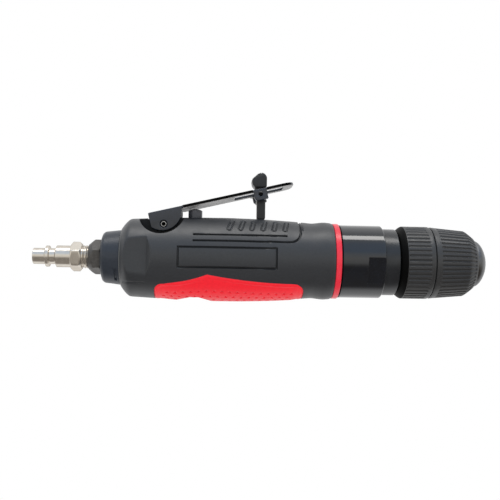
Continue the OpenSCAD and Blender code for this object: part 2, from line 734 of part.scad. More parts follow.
module x_cyl(x0, x1, r) {
  translate([x0, 0, 0]) rotate([0, 90, 0]) cylinder(h = x1 - x0, r = r);
}
module x_tube(x0, x1, ro, ri) {
  difference() {
    x_cyl(x0, x1, ro);
    x_cyl(x0 - over, x1 + over, ri);
  }
}
module x_turn(pts) {
  rotate([0, 90, 0]) rotate_extrude() polygon([for (p = pts) [p[1], p[0]]]);
}
module x_hex(x0, x1, af, turn) {
  rotate([turn, 0, 0]) translate([x0, 0, 0]) rotate([0, 90, 0])
    cylinder(h = x1 - x0, r = af / sqrt(3), $fn = 6);
}
module x_shape(x0, x1) {
  translate([x0, 0, 0]) rotate([90, 0, 90]) linear_extrude(x1 - x0) children();
}
module x_gear(x0, x1) {
  translate([x0, 0, 0]) rotate([0, 90, 0]) linear_extrude(x1 - x0) children();
}
module y_shape(y0, y1) {
  translate([0, y1, 0]) rotate([90, 0, 0]) linear_extrude(y1 - y0) children();
}
module y_cyl(x, z, y0, y1, r) {
  translate([x, y1, z]) rotate([90, 0, 0]) cylinder(h = y1 - y0, r = r);
}
module z_cyl(x, z0, z1, r) {
  translate([x, 0, z0]) cylinder(h = z1 - z0, r = r);
}
module torus(x, z, r, wire) {
  translate([x, 0, z]) rotate_extrude() translate([r, 0]) circle(r = wire);
}
module x_torus(x, r, wire) {
  translate([x, 0, 0]) rotate([0, 90, 0]) rotate_extrude() translate([r, 0]) circle(r = wire);
}
module wire(pts, r, ref) {
  n = len(pts);
  s = wire_sides;
  rings = [for (i = [0:n - 1])
    let (t = unit(pts[min(i + 1, n - 1)] - pts[max(i - 1, 0)]), u = unit(cross(t, ref)), w = cross(u, t))
    for (k = [0:s - 1]) pts[i] + r * (cos(360 * k / s) * u + sin(360 * k / s) * w)];
  sides = [for (i = [0:n - 2], k = [0:s - 1])
    [i * s + k, i * s + (k + 1) % s, (i + 1) * s + (k + 1) % s, (i + 1) * s + k]];
  ends = [[for (k = [s - 1:-1:0]) k], [for (k = [0:s - 1]) (n - 1) * s + k]];
  polyhedron(rings, concat(sides, ends));
}

// Shared shapes of the grip.
module grip_solid(cut) {
  pts = grip_curve(cut);
  x_turn(concat([[x_rear, 0]], pts, [[x_rear + grip_len, 0]]));
}
module scoop(y0, y1) {
  y_cyl(lug_x, scoop_z, y0, y1, scoop_r);
}
module insert_prism(gap) {
  y_shape(-2 * grip_belly_r, 2 * grip_belly_r) polygon(insert_edge(gap));
}
module insert_core(gap) {
  difference() {
    insert_prism(gap);
    grip_solid(insert_t + (gap > 0 ? 0 : -fit_gap));
  }
}
// Room above a flat bench that touches the chuck and the insert.
module above_bench() {
  xr = x_rear + grip_belly_at + rest_ahead;
  zr = lookup(xr, grip_curve(0)) + insert_drop - insert_flat;
  fall = (zr - sleeve_r) / (x_split - case_bevel - xr);
  y_shape(-2 * grip_belly_r, 2 * grip_belly_r) polygon([
    [x_rear, fall * (x_rear - xr) - zr], [x_case, fall * (x_case - xr) - zr],
    [x_case, 2 * grip_belly_r], [x_rear, 2 * grip_belly_r]]);
}
module notch() {
  z_cyl(x_valve, -2 * grip_belly_r, over - housing_r, valve_bore_r);
  y_shape(-grip_belly_r, grip_belly_r) translate([x_valve, 0]) polygon([
    [-notch_half, -insert_low_r], [-notch_flat / 2, -reg_end_z], [notch_flat / 2, -reg_end_z],
    [notch_half, -insert_low_r], [notch_half, -2 * grip_belly_r], [-notch_half, -2 * grip_belly_r]]);
}
module lug_gap() {
  side = lug_half + fit_gap;
  xa = x_pivot - lug_r - run_gap;
  xr = x_pivot - ridge_back;
  translate([xa, -side, 0]) cube([2 * (lug_r + run_gap), 2 * side, 2 * grip_belly_r]);
  translate([xr, -side - over, lever_pin_z + ridge_rise])
    cube([xa + over - xr, 2 * (side + over), grip_belly_r]);
}
module panel_frame() {
  xa = x_rear + panel_at;
  za = -panel_drop - panel_h / 2;
  difference() {
    translate([xa, za]) square([panel_len, panel_h]);
    translate([xa + groove_w, za + groove_w])
      square([panel_len - 2 * groove_w, panel_h - 2 * groove_w]);
  }
}
module side_grooves() {
  xa = x_rear + groove_at;
  xb = xa + groove_low_len;
  ro = groove_bend_r + groove_w / 2;
  translate([xa, groove_high_z - groove_w / 2]) square([groove_high_len, groove_w]);
  translate([xa, groove_low_z - groove_w / 2]) square([groove_low_len, groove_w]);
  translate([xb, groove_low_z + groove_bend_r]) intersection() {
    difference() {
      circle(r = ro);
      circle(r = ro - groove_w);
    }
    translate([0, -ro]) square(ro);
  }
  translate([xb + ro - groove_w, groove_low_z + groove_bend_r]) square([groove_w, 2 * grip_belly_r]);
}
module grip_flats() {
  xa = x_rear + flat_len;
  xb = xa + flat_ramp_len;
  for (s = [0, 1]) mirror([0, s, 0])
    translate([0, 0, -grip_belly_r]) linear_extrude(2 * grip_belly_r)
      polygon([[x_rear - over, flat_apothem], [xa, flat_apothem], [xb, grip_belly_r],
               [xb, grip_belly_r + over], [x_rear - over, grip_belly_r + over]]);
}

// Air plug and inlet.
module air_nipple() {
  turns = floor((plug_thread_gap + plug_thread_in) / plug_thread_pitch);
  root = plug_thread_r - plug_thread_depth;
  end = x_bush + plug_thread_in;
  color("silver") difference() {
    union() {
      x_turn(concat(
        [[0, 0], [0, plug_tip_r], [x_ring, plug_tip_r], [x_ring + plug_bevel, plug_ring_r],
         [x_neck - plug_bevel, plug_ring_r], [x_neck, plug_neck_r], [x_collar, plug_neck_r],
         [x_collar + plug_bevel, plug_collar_r], [x_thread, plug_collar_r], [x_thread, root]],
        [for (i = [0:turns - 1], s = [1:2])
          [x_thread + plug_thread_pitch * (i + s / 2), s == 1 ? plug_thread_r : root]],
        [[end, root], [end, 0]]));
      intersection() {
        x_hex(x_hex, x_thread, plug_hex_af, plug_hex_turn);
        x_turn([[x_hex, 0], [x_hex, plug_hex_af / 2], [x_hex + plug_bevel, plug_hex_af / sqrt(3)],
                [x_thread - plug_bevel, plug_hex_af / sqrt(3)], [x_thread, plug_hex_af / 2], [x_thread, 0]]);
      }
    }
    x_cyl(-over, end + over, plug_bore_r);
  }
}
module inlet_bushing() {
  color("dimgray") difference() {
    union() {
      intersection() {
        x_hex(x_bush, x_seat, bush_hex_af, bush_hex_turn);
        x_turn([[x_bush, 0], [x_bush, bush_cone_r], [x_bush + bush_cone_len, bush_hex_af / sqrt(3)],
                [x_seat, bush_hex_af / sqrt(3)], [x_seat, 0]]);
      }
      x_cyl(x_seat - over, x_rear, bush_journal_r);
      x_cyl(x_rear - over, x_rear + bush_shank_len, bush_shank_r);
    }
    x_cyl(x_bush - over, x_bush + plug_thread_in + over, plug_thread_r + fit_gap);
    x_cyl(x_bush, x_rear + bush_shank_len + over, bush_bore_r);
  }
}
module inlet_screen() {
  x0 = x_rear + bush_shank_len;
  color("gold") difference() {
    x_cyl(x0, x0 + screen_t, bush_shank_r);
    for (g = [0:60:300]) rotate([g, 0, 0]) translate([0, 0, bush_bore_r * 2 / 3])
      x_cyl(x0 - over, x0 + screen_t + over, screen_hole_r);
    x_cyl(x0 - over, x0 + screen_t + over, screen_hole_r);
  }
}
module exhaust_deflector() {
  x1 = x_cap + cap_len;
  in_r = cap_r - cap_wall;
  color("dimgray") difference() {
    x_turn(concat([[x_cap, 0]], arc(x_cap + cap_round, cap_r - cap_round, cap_round, 180, 90),
                  [[x1, cap_r], [x1, 0]]));
    x_cyl(x_cap + cap_floor, x1 + over, in_r);
    x_cyl(x_cap - over, x1, bush_journal_r + pin_gap);
    for (g = [0:20:80]) rotate([cap_slot_turn + g, 0, 0])
      translate([x_cap + cap_floor + silencer_t / 2, -cap_slot_w / 2, in_r - over])
        cube([silencer_t, cap_slot_w, cap_wall + 2 * over]);
  }
}
module exhaust_silencer() {
  x0 = x_cap + cap_floor;
  color("beige") x_tube(x0, x0 + silencer_t, cap_r - cap_wall - fit_gap, bush_journal_r + run_gap);
}

// Grip and housing.
module grip_sleeve() {
  x1 = x_rear + grip_len;
  color("dimgray") difference() {
    grip_solid(0);
    x_cyl(x_rear - over, x1, housing_neck_r + fit_gap);
    x_cyl(x_rear + housing_neck_len - fit_gap, x1 + over, housing_r + fit_gap);
    insert_core(fit_gap);
    scoop(lug_half + fit_gap, grip_belly_r);
    scoop(-grip_belly_r, -lug_half - fit_gap);
    lug_gap();
    grip_flats();
    z_cyl(x_valve, 0, 2 * grip_belly_r, button_r + run_gap);
    notch();
    translate([lock_x - pocket_back, -pocket_half, pocket_z])
      cube([pocket_back + pocket_front, 2 * pocket_half, grip_belly_r]);
    difference() {
      y_shape(-grip_belly_r, grip_belly_r) union() {
        panel_frame();
        side_grooves();
      }
      grip_solid(groove_depth);
    }
  }
}
module grip_insert() {
  color("crimson") difference() {
    intersection() {
      union() {
        grip_solid(0);
        translate([0, 0, -insert_drop])
          x_turn(concat([[x_rear, 0]], insert_curve(), [[x_rear + grip_len, 0]]));
      }
      insert_core(0);
      above_bench();
    }
    notch();
  }
}
module housing_passages() {
  rise = feed_z - valve_seat_z - valve_chamber_len / 2;
  run = block_len - valve_at;
  z_cyl(x_valve, -2 * housing_r, valve_top_z, valve_bore_r);
  z_cyl(x_valve, 0, 2 * housing_r, button_r + run_gap);
  x_cyl(x_rear - over, x_rear + bush_shank_len + screen_t, bush_shank_r + fit_gap);
  translate([0, 0, inlet_r - bush_shank_r]) x_cyl(x_rear + bush_shank_len, x_valve, inlet_r);
  translate([x_valve, 0, feed_z - rise]) rotate([0, atan2(run, rise), 0])
    cylinder(h = norm([run, rise]) + over, r = feed_r);
  for (s = [-1, 1], t = [0, 180]) rotate([t + s * exhaust_turn, 0, 0])
    translate([0, exhaust_at, 0]) x_cyl(x_rear - over, x_block + over, exhaust_r);
  reg_pin_hole(fit_gap);
}
module reg_pin_hole(gap) {
  translate([x_valve - reg_pin_len / 2, valve_bore_r + reg_pin_r / 3, -reg_pin_z]) rotate([0, 90, 0])
    cylinder(h = reg_pin_len, r = reg_pin_r + gap);
}
module motor_housing() {
  x1 = x_rear + housing_neck_len;
  side = lug_half + over;
  color("silver") difference() {
    union() {
      x_cyl(x_rear, x1 + over, housing_neck_r);
      x_cyl(x1, x_front, housing_r);
      y_shape(-side, side) union() {
        translate([x_pivot, lever_pin_z]) circle(r = lug_r);
        translate([x_pivot - lug_r, 0]) square([2 * lug_r, lever_pin_z]);
      }
    }
    scoop(lug_half, grip_belly_r);
    scoop(-grip_belly_r, -lug_half);
    x_cyl(x_block, x_front + over, motor_bore_r);
    y_cyl(x_pivot, lever_pin_z, -grip_belly_r, grip_belly_r, lever_pin_r + fit_gap);
    housing_passages();
  }
}

// Throttle lever and safety lock.
module at_lever() {
  translate([x_pivot, 0, lever_pin_z]) rotate([0, -lever_slope, 0]) children();
}
module lever_plan() {
  half = lever_w / 2 + lever_lip;
  lip_x = ear_shift + ear_r + lip_gap;
  x1 = lever_len - lever_tip_round;
  y1 = half - lever_tip_round;
  difference() {
    union() {
      translate([-lever_back, -lever_w / 2]) square([lever_back + x1, lever_w]);
      translate([lip_x, -half]) square([x1 - lip_x, 2 * half]);
      translate([x1 - over, -y1]) square([lever_tip_round + over, 2 * y1]);
      for (s = [-1, 1]) translate([x1, s * y1]) circle(r = lever_tip_round);
    }
    translate([lock_at - slot_back, -rail_in]) square([slot_back + slot_front, 2 * rail_in]);
  }
}
module ear_side() {
  intersection() {
    translate([ear_shift, ear_rise]) circle(r = ear_r);
    translate([-lever_back, lever_top - 2 * ear_r]) square(2 * ear_r);
  }
}
module throttle_lever() {
  color("black") at_lever() difference() {
    union() {
      translate([0, 0, lever_rise]) linear_extrude(lever_t) lever_plan();
      for (y = [-lever_w / 2, rail_in]) {
        y_shape(y, y + lever_t) ear_side();
        translate([lock_at - tab_len / 2, y, lever_rise - tab_drop])
          cube([tab_len, lever_t, tab_drop + lever_t]);
      }
    }
    y_cyl(0, 0, -lever_w, lever_w, lever_pin_r + pin_gap);
    y_cyl(lock_at, lock_z, -lever_w, lever_w, lock_pin_r + fit_gap);
  }
}
module lever_pin() {
  color("silver") difference() {
    y_cyl(x_pivot, lever_pin_z, -lever_w / 2, lever_w / 2, lever_pin_r);
    y_cyl(x_pivot, lever_pin_z, -lever_w, lever_w, lever_pin_hole_r);
  }
}
module at_lock() {
  translate([lock_x, 0, lock_up]) children();
}
module lock_pin() {
  color("silver") at_lock() rotate([0, -lever_slope, 0]) y_cyl(0, 0, -lever_w / 2, lever_w / 2, lock_pin_r);
}
module safety_lock() {
  xa = leg_shift - leg_t / 2;
  xb = leg_shift + leg_t / 2;
  color("black") at_lock() difference() {
    union() {
      y_cyl(0, 0, -lock_half, lock_half, lock_hub_r);
      y_cyl(leg_shift, leg_t / 2 - leg_len, -lock_half, lock_half, leg_t / 2);
      translate([xa, -lock_half, leg_t / 2 - leg_len]) cube([leg_t, 2 * lock_half, leg_len - leg_t / 2]);
      translate([-lock_hub_r, -lock_half, 0]) cube([2 * lock_hub_r, 2 * lock_half, thumb_low_z + over]);
      y_cyl(thumb_front - thumb_r, thumb_z, -thumb_half, thumb_half, thumb_r);
      y_shape(-thumb_half, thumb_half) polygon([
        [-lock_hub_r, thumb_low_z], [thumb_front, thumb_low_z], [thumb_front, thumb_z],
        [thumb_front - thumb_r, thumb_z + thumb_r], [-thumb_back, thumb_z - thumb_r / 3],
        [-thumb_back, thumb_z - thumb_r]]);
    }
    y_cyl(0, 0, -lever_w, lever_w, lock_pin_r + pin_gap);
  }
}
module lock_spring() {
  color("silver") at_lock() wire(lock_helix, lock_wire_r, [0, 1, 0]);
}

// Throttle valve.
module valve_bushing() {
  guide_z = valve_seat_z + valve_chamber_len;
  port_z = valve_seat_z + valve_chamber_len / 2;
  color("gold") difference() {
    z_cyl(x_valve, valve_seat_z, valve_top_z, valve_bore_r - fit_gap);
    z_cyl(x_valve, valve_seat_z - over, guide_z, valve_chamber_r);
    z_cyl(x_valve, 0, valve_top_z + over, stem_r + pin_gap);
    translate([0, 0, port_z]) x_cyl(x_valve, x_valve + 2 * valve_bore_r, valve_port_r);
  }
}
module valve_stem() {
  color("silver") difference() {
    union() {
      intersection() {
        z_cyl(x_valve, button_low_z, dome_z + button_dome_r, button_r);
        translate([x_valve, 0, dome_z]) sphere(r = button_dome_r);
      }
      z_cyl(x_valve, head_low_z, button_low_z + over, stem_r);
      z_cyl(x_valve, head_low_z, head_top_z, head_r);
    }
  }
}
module valve_seal() {
  color("black") torus(x_valve, valve_seat_z - seal_wire_r - fit_gap / 2, head_r - seal_wire_r, seal_wire_r);
}
module valve_spring() {
  color("silver") wire(valve_helix, spring_wire_r, [0, 0, 1]);
}
module regulator() {
  r = valve_bore_r - pin_gap;
  groove_r = r - reg_groove_depth;
  groove_h = reg_pin_r + pin_gap;
  seal_z = (reg_top_z + reg_pin_z - groove_h) / 2;
  color("black") difference() {
    z_cyl(x_valve, -reg_end_z, -reg_top_z, r);
    difference() {
      z_cyl(x_valve, -reg_pin_z - groove_h, groove_h - reg_pin_z, 2 * r);
      z_cyl(x_valve, -reg_end_z, 0, groove_r);
    }
    difference() {
      z_cyl(x_valve, -seal_z - reg_seal_r, reg_seal_r - seal_z, 2 * r);
      z_cyl(x_valve, -reg_end_z, 0, valve_bore_r - 2 * reg_seal_r - 2 * fit_gap);
    }
    translate([x_valve - reg_slot_w / 2, -r - over, -reg_end_z - over])
      cube([reg_slot_w, 2 * (r + over), reg_slot_w + over]);
  }
}
module regulator_seal() {
  seal_z = (reg_top_z + reg_pin_z - reg_pin_r - pin_gap) / 2;
  color("dimgray") torus(x_valve, -seal_z, valve_bore_r - reg_seal_r - fit_gap, reg_seal_r);
}
module regulator_pin() {
  color("silver") reg_pin_hole(0);
}

// Air motor.
module race_outer(x0, w, ri, ro) {
  m = (ri + ro) / 2;
  difference() {
    x_tube(x0, x0 + w, ro, m + lip_share * (ro - ri));
    x_torus(x0 + w / 2, m, ball_share * (ro - ri) + inner_gap);
  }
}
module race_inner(x0, w, ri, ro) {
  m = (ri + ro) / 2;
  difference() {
    x_tube(x0, x0 + w, m - lip_share * (ro - ri), ri);
    x_torus(x0 + w / 2, m, ball_share * (ro - ri) + inner_gap);
  }
}
module race_balls(x0, w, ri, ro, n) {
  for (i = [0:n - 1]) rotate([360 * i / n, 0, 0]) translate([x0 + w / 2, 0, (ri + ro) / 2])
    sphere(r = ball_share * (ro - ri));
}
x_rb = x_block + inner_gap;
x_fb = x_plates - inner_gap - front_bearing_w;
module motor_bearing_outer() {
  color("silver") {
    race_outer(x_rb, rear_bearing_w, rear_bearing_ri, rear_bearing_ro);
    race_outer(x_fb, front_bearing_w, front_bearing_ri, front_bearing_ro);
  }
}
module motor_bearing_inner() {
  color("silver") {
    race_inner(x_rb, rear_bearing_w, rear_bearing_ri, rear_bearing_ro);
    race_inner(x_fb, front_bearing_w, front_bearing_ri, front_bearing_ro);
  }
}
module motor_bearing_balls() {
  color("white") {
    race_balls(x_rb, rear_bearing_w, rear_bearing_ri, rear_bearing_ro, rear_balls);
    race_balls(x_fb, front_bearing_w, front_bearing_ri, front_bearing_ro, front_balls);
  }
}
module dowel(gap) {
  translate([0, 0, -cylinder_pin_at])
    x_cyl(x_cyl - rear_plate_len / 2 - gap, x_cyl_end + front_plate_len / 2 + gap, cylinder_pin_r + gap);
}
module rear_end_plate() {
  color("gray") difference() {
    x_cyl(x_block, x_cyl, motor_bore_r - fit_gap);
    x_cyl(x_block - over, x_rb + rear_bearing_w, rear_bearing_ro + fit_gap);
    x_cyl(x_block, x_cyl + over, rear_bearing_ri + run_gap);
    translate([0, 0, feed_z]) x_cyl(x_block - over, x_cyl + over, feed_r);
    for (s = [-1, 1], t = [0, 180]) rotate([t + s * exhaust_turn, 0, 0])
      translate([0, exhaust_at, 0]) x_cyl(x_block - over, x_cyl + over, exhaust_r);
    dowel(fit_gap);
  }
}
module cylinder_port(x) {
  translate([x, 0, 0]) rotate([exhaust_turn - 90, 0, 0]) cylinder(h = motor_bore_r + over, r = exhaust_r);
}
module motor_cylinder() {
  color("gray") difference() {
    x_cyl(x_cyl, x_cyl_end, motor_bore_r - fit_gap);
    translate([0, 0, cylinder_offset]) x_cyl(x_cyl - over, x_cyl_end + over, cylinder_bore_r);
    for (i = [1:4]) cylinder_port(x_cyl + cylinder_len * i / 5);
    dowel(fit_gap);
  }
}
module front_end_plate() {
  color("gray") difference() {
    x_cyl(x_cyl_end, x_plates, motor_bore_r - fit_gap);
    x_cyl(x_fb, x_plates + over, front_bearing_ro + fit_gap);
    x_cyl(x_cyl_end - over, x_plates, front_bearing_ri + run_gap);
    dowel(fit_gap);
  }
}
module cylinder_pin() {
  color("silver") dowel(0);
}
x_rotor = x_cyl + inner_gap;
x_rotor_end = x_cyl_end - inner_gap;
module rotor() {
  slot_r = rotor_r - blade_h - 2 * inner_gap;
  x_end_sun = x_ringgear + ring_gear_w;
  color("gray") difference() {
    union() {
      x_cyl(x_rotor, x_rotor_end, rotor_r);
      x_cyl(x_rb, x_rotor_end, rear_bearing_ri - fit_gap);
      x_cyl(x_rotor, x_plates, front_bearing_ri - fit_gap);
      x_gear(x_plates - over, x_end_sun)
        polygon(gear_edge(sun_teeth, addendum_share * gear_module, dedendum_share * gear_module, gear_thin));
    }
    for (i = [0:blade_count - 1]) rotate([360 * i / blade_count, 0, 0])
      translate([x_rotor - over, -blade_t / 2 - inner_gap / 2, slot_r])
        cube([x_rotor_end - x_rotor + 2 * over, blade_t + inner_gap, rotor_r]);
  }
}
module rotor_blades() {
  low = rotor_r - blade_h - inner_gap;
  color("saddlebrown") for (i = [0:blade_count - 1]) rotate([360 * i / blade_count, 0, 0])
    translate([x_rotor, -blade_t / 2, low]) cube([x_rotor_end - x_rotor, blade_t, blade_h]);
}

// Gear case and planetary gear.
module trim_ring() {
  color("crimson") x_tube(x_front, x_case, trim_r, motor_bore_r);
}
module gear_case() {
  a = case_r - spanner_depth;
  color("black") difference() {
    union() {
      x_cyl(x_plates, x_case + over, motor_bore_r - fit_gap);
      x_turn([[x_case, 0], [x_case, case_r - case_bevel], [x_case + case_bevel, case_r],
              [x_nose - case_bevel, case_r], [x_nose, case_r - case_bevel], [x_nose, 0]]);
    }
    x_cyl(x_plates - over, x_nose, case_bore_r);
    x_cyl(x_ringgear, x_nose + over, ring_gear_r + fit_gap);
    for (t = [0, 180]) rotate([t + spanner_turn, 0, 0])
      translate([x_nose - spanner_len, a, -case_r]) cube([spanner_len + over, case_r, 2 * case_r]);
  }
}
module ring_gear() {
  color("gray") difference() {
    x_cyl(x_ringgear, x_ringgear + ring_gear_w, ring_gear_r);
    rotate([180 / ring_teeth, 0, 0]) x_gear(x_ringgear - over, x_ringgear + ring_gear_w + over)
      polygon(gear_edge(ring_teeth, dedendum_share * gear_module, addendum_share * gear_module, -gear_thin));
  }
}
module planet_gear(n) {
  g = planet_angles[n - 1];
  x0 = x_ringgear + (ring_gear_w - planet_w) / 2;
  color("silver") x_gear(x0, x0 + planet_w) translate(planet_at * [cos(g), sin(g)]) difference() {
    polygon(gear_edge(planet_teeth, addendum_share * gear_module, dedendum_share * gear_module, gear_thin));
    circle(r = planet_pin_r + pin_gap);
  }
}
module planet_gear_1() {
  planet_gear(1);
}
module planet_gear_2() {
  planet_gear(2);
}
module planet_gear_3() {
  planet_gear(3);
}
module planet_pins() {
  x0 = x_ringgear + (ring_gear_w - planet_w) / 2;
  color("dimgray") x_gear(x0, x_shoulder) for (g = planet_angles)
    translate(planet_at * [cos(g), sin(g)]) circle(r = planet_pin_r);
}
module spindle() {
  step_r = journal_r + lip_share * (spindle_bearing_ro - spindle_bearing_ri);
  x_tip = x_body + spindle_thread_len;
  color("gray") difference() {
    union() {
      x_cyl(x_carrier, x_shoulder, carrier_r);
      x_cyl(x_carrier, x_bear_a, step_r);
      x_cyl(x_carrier, x_body, journal_r);
      x_cyl(x_carrier, x_tip, spindle_thread_r);
    }
    x_gear(x_carrier - over, x_shoulder + over) for (g = planet_angles)
      translate(planet_at * [cos(g), sin(g)]) circle(r = planet_pin_r + fit_gap);
    x_cyl(x_tip - screw_len, x_tip + over, screw_r + fit_gap);
  }
}
module spindle_bearing_outer() {
  color("silver") for (x = [x_bear_a, x_bear_b])
    race_outer(x, spindle_bearing_w, spindle_bearing_ri, spindle_bearing_ro);
}
module spindle_bearing_inner() {
  color("silver") for (x = [x_bear_a, x_bear_b])
    race_inner(x, spindle_bearing_w, spindle_bearing_ri, spindle_bearing_ro);
}
module spindle_bearing_balls() {
  color("white") for (x = [x_bear_a, x_bear_b])
    race_balls(x, spindle_bearing_w, spindle_bearing_ri, spindle_bearing_ro, spindle_balls);
}
module nose_cap() {
  x0 = x_ringgear + ring_gear_w + fit_gap;
  color("dimgray") difference() {
    union() {
      x_cyl(x0, x_nose + over, ring_gear_r);
      x_cyl(x_nose, x_nose_end, nose_r);
    }
    x_cyl(x0 - over, x_bear_a, carrier_r + run_gap);
    x_cyl(x0, x_nose_end - nose_lip, spindle_bearing_ro + fit_gap);
    x_cyl(x0, x_nose_end + over, nose_hole_r);
  }
}

// Keyless chuck.
module chuck_rear_sleeve() {
  color("black") difference() {
    x_turn([[x_chuck, 0], [x_chuck, rear_sleeve_end_r], [x_chuck + rear_sleeve_bevel, sleeve_r],
            [x_split - case_bevel, sleeve_r], [x_split, sleeve_r - case_bevel], [x_split, 0]]);
    x_cyl(x_chuck - over, x_split, hub_r + fit_gap);
    x_cyl(x_chuck + rear_sleeve_floor, x_split + over, rear_sleeve_in_r);
    for (i = [0:sleeve_grooves - 1]) rotate([360 * i / sleeve_grooves, 0, 0])
      translate([0, 0, sleeve_r + sleeve_groove_r - sleeve_groove_depth])
        x_cyl(x_chuck + rear_sleeve_bevel + case_bevel, x_split - rear_sleeve_bevel, sleeve_groove_r);
  }
}
module chuck_front_sleeve() {
  x1 = x_fend - front_dome_len;
  lean = atan2(front_sleeve_r - front_dome_r, x1 - x_fsleeve);
  color("black") difference() {
    x_turn(concat(
      [[x_fsleeve, 0], [x_fsleeve, front_sleeve_r - case_bevel], [x_fsleeve + case_bevel, front_sleeve_r]],
      [for (i = [0:curve_steps]) let (t = i / curve_steps)
        [x1 + front_dome_len * t, front_dome_r - (front_dome_r - front_lip_r) * pow(t, dome_power)]],
      [[x_fend, 0]]));
    x_cyl(x_fsleeve - over, x_fin, collar_r + fit_gap);
    x_cyl(x_fsleeve, x_fend + over, body_front_r + run_gap);
    for (i = [0:sleeve_grooves - 1]) rotate([360 * i / sleeve_grooves, 0, 0])
      translate([x_fsleeve, 0, front_sleeve_r + sleeve_groove_r - sleeve_groove_depth]) rotate([0, lean, 0])
        x_cyl(rear_sleeve_bevel, 2 * front_sleeve_len, sleeve_groove_r);
  }
}
module jaw_bore(r) {
  translate([x_jaw, 0, jaw_axis_r]) rotate([0, 90 + jaw_slant, 0])
    translate([0, 0, -2 * jaw_len]) cylinder(h = 3 * jaw_len, r = r);
}
module chuck_body() {
  color("silver") difference() {
    x_turn(concat([[x_body, 0], [x_body, hub_r], [x_thick, hub_r], [x_thick, body_r], [x_groove, body_r],
        [x_groove, nut_groove_r], [x_land, nut_groove_r], [x_land, body_front_r]],
      [for (i = [0:curve_steps]) let (t = i / curve_steps)
        [x_fend + steel_nose_len * t, body_front_r - (body_front_r - steel_nose_r) * pow(t, nose_power)]],
      [[x_end, 0]]));
    x_cyl(x_shank, x_end + over, shank_r);
    x_cyl(x_shank - screw_head_len, x_end, screw_head_r + run_gap);
    x_cyl(x_body - over, x_shank, screw_r + fit_gap);
    x_cyl(x_body - over, x_body + spindle_thread_len + fit_gap, spindle_thread_r + fit_gap);
    for (g = jaw_angles) rotate([g, 0, 0]) intersection() {
      jaw_bore(jaw_r + pin_gap);
      x_cyl(x_thick, x_end + jaw_len, 2 * body_r);
    }
  }
}
module chuck_jaw(n) {
  apex = jaw_land_r - jaw_land_h;
  top = 2 * body_r;
  color("gray") rotate([jaw_angles[n - 1], 0, 0]) intersection() {
    jaw_bore(jaw_r);
    x_shape(x_jaw - jaw_len, x_jaw) polygon([
      [-jaw_land_h * tan(60), jaw_land_r], [jaw_land_h * tan(60), jaw_land_r],
      [(top - apex) * tan(60), top], [(apex - top) * tan(60), top]]);
  }
}
module chuck_jaw_1() {
  chuck_jaw(1);
}
module chuck_jaw_2() {
  chuck_jaw(2);
}
module chuck_jaw_3() {
  chuck_jaw(3);
}
function jaw_edge(x) = jaw_axis_r + (x_jaw - x) * tan(jaw_slant) + jaw_reach + run_gap;
module chuck_nut() {
  x1 = x_nut + nut_len;
  color("gray") difference() {
    x_cyl(x_nut, x1, nut_r);
    x_turn([[x_nut - over, 0], [x_nut - over, jaw_edge(x_nut - over)],
            [x1 + over, jaw_edge(x1 + over)], [x1 + over, 0]]);
    x_cyl(x_nut - over, x1 + over, nut_groove_r + run_gap);
  }
}
module chuck_nut_collar() {
  color("dimgray") x_tube(x_nut, x_nut + nut_len, collar_r, nut_r + fit_gap);
}
module chuck_thrust_washer() {
  color("silver") x_tube(x_groove, x_groove + thrust_t, body_r - fit_gap, thrust_ri);
}
module chuck_screw() {
  x1 = x_shank;
  x0 = x1 - screw_head_len;
  color("dimgray") difference() {
    union() {
      x_cyl(x0, x1, screw_head_r);
      x_cyl(x_body + spindle_thread_len - screw_len + inner_gap, x1, screw_r);
    }
    x_hex(x0 + screw_head_len / 3, x1 + over, screw_head_r, 0);
  }
}

air_nipple();
inlet_bushing();
inlet_screen();
exhaust_deflector();
exhaust_silencer();
motor_housing();
grip_sleeve();
grip_insert();
throttle_lever();
lever_pin();
safety_lock();
lock_pin();
lock_spring();
valve_bushing();
valve_stem();
valve_seal();
valve_spring();
regulator();
regulator_seal();
regulator_pin();
rear_end_plate();
motor_cylinder();
front_end_plate();
cylinder_pin();
rotor();
rotor_blades();
motor_bearing_outer();
motor_bearing_inner();
motor_bearing_balls();
trim_ring();
gear_case();
nose_cap();
ring_gear();
planet_gear_1();
planet_gear_2();
planet_gear_3();
planet_pins();
spindle();
spindle_bearing_outer();
spindle_bearing_inner();
spindle_bearing_balls();
chuck_body();
chuck_rear_sleeve();
chuck_front_sleeve();
chuck_nut();
chuck_nut_collar();
chuck_thrust_washer();
chuck_screw();
chuck_jaw_1();
chuck_jaw_2();
chuck_jaw_3();
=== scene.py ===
"""Looks of a straight air drill with a lever throttle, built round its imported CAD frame.

Lengths in this file are millimetres until they enter a mesh. The spindle's axis is X, the
lever is up along +Z, and the side that faces the camera is -Y. Angles about the axis run
from +Y over the top, so the near side is at 180 degrees.
"""

import contextlib
import json
import math

import bmesh
import bpy
import numpy as np
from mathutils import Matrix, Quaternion, Vector


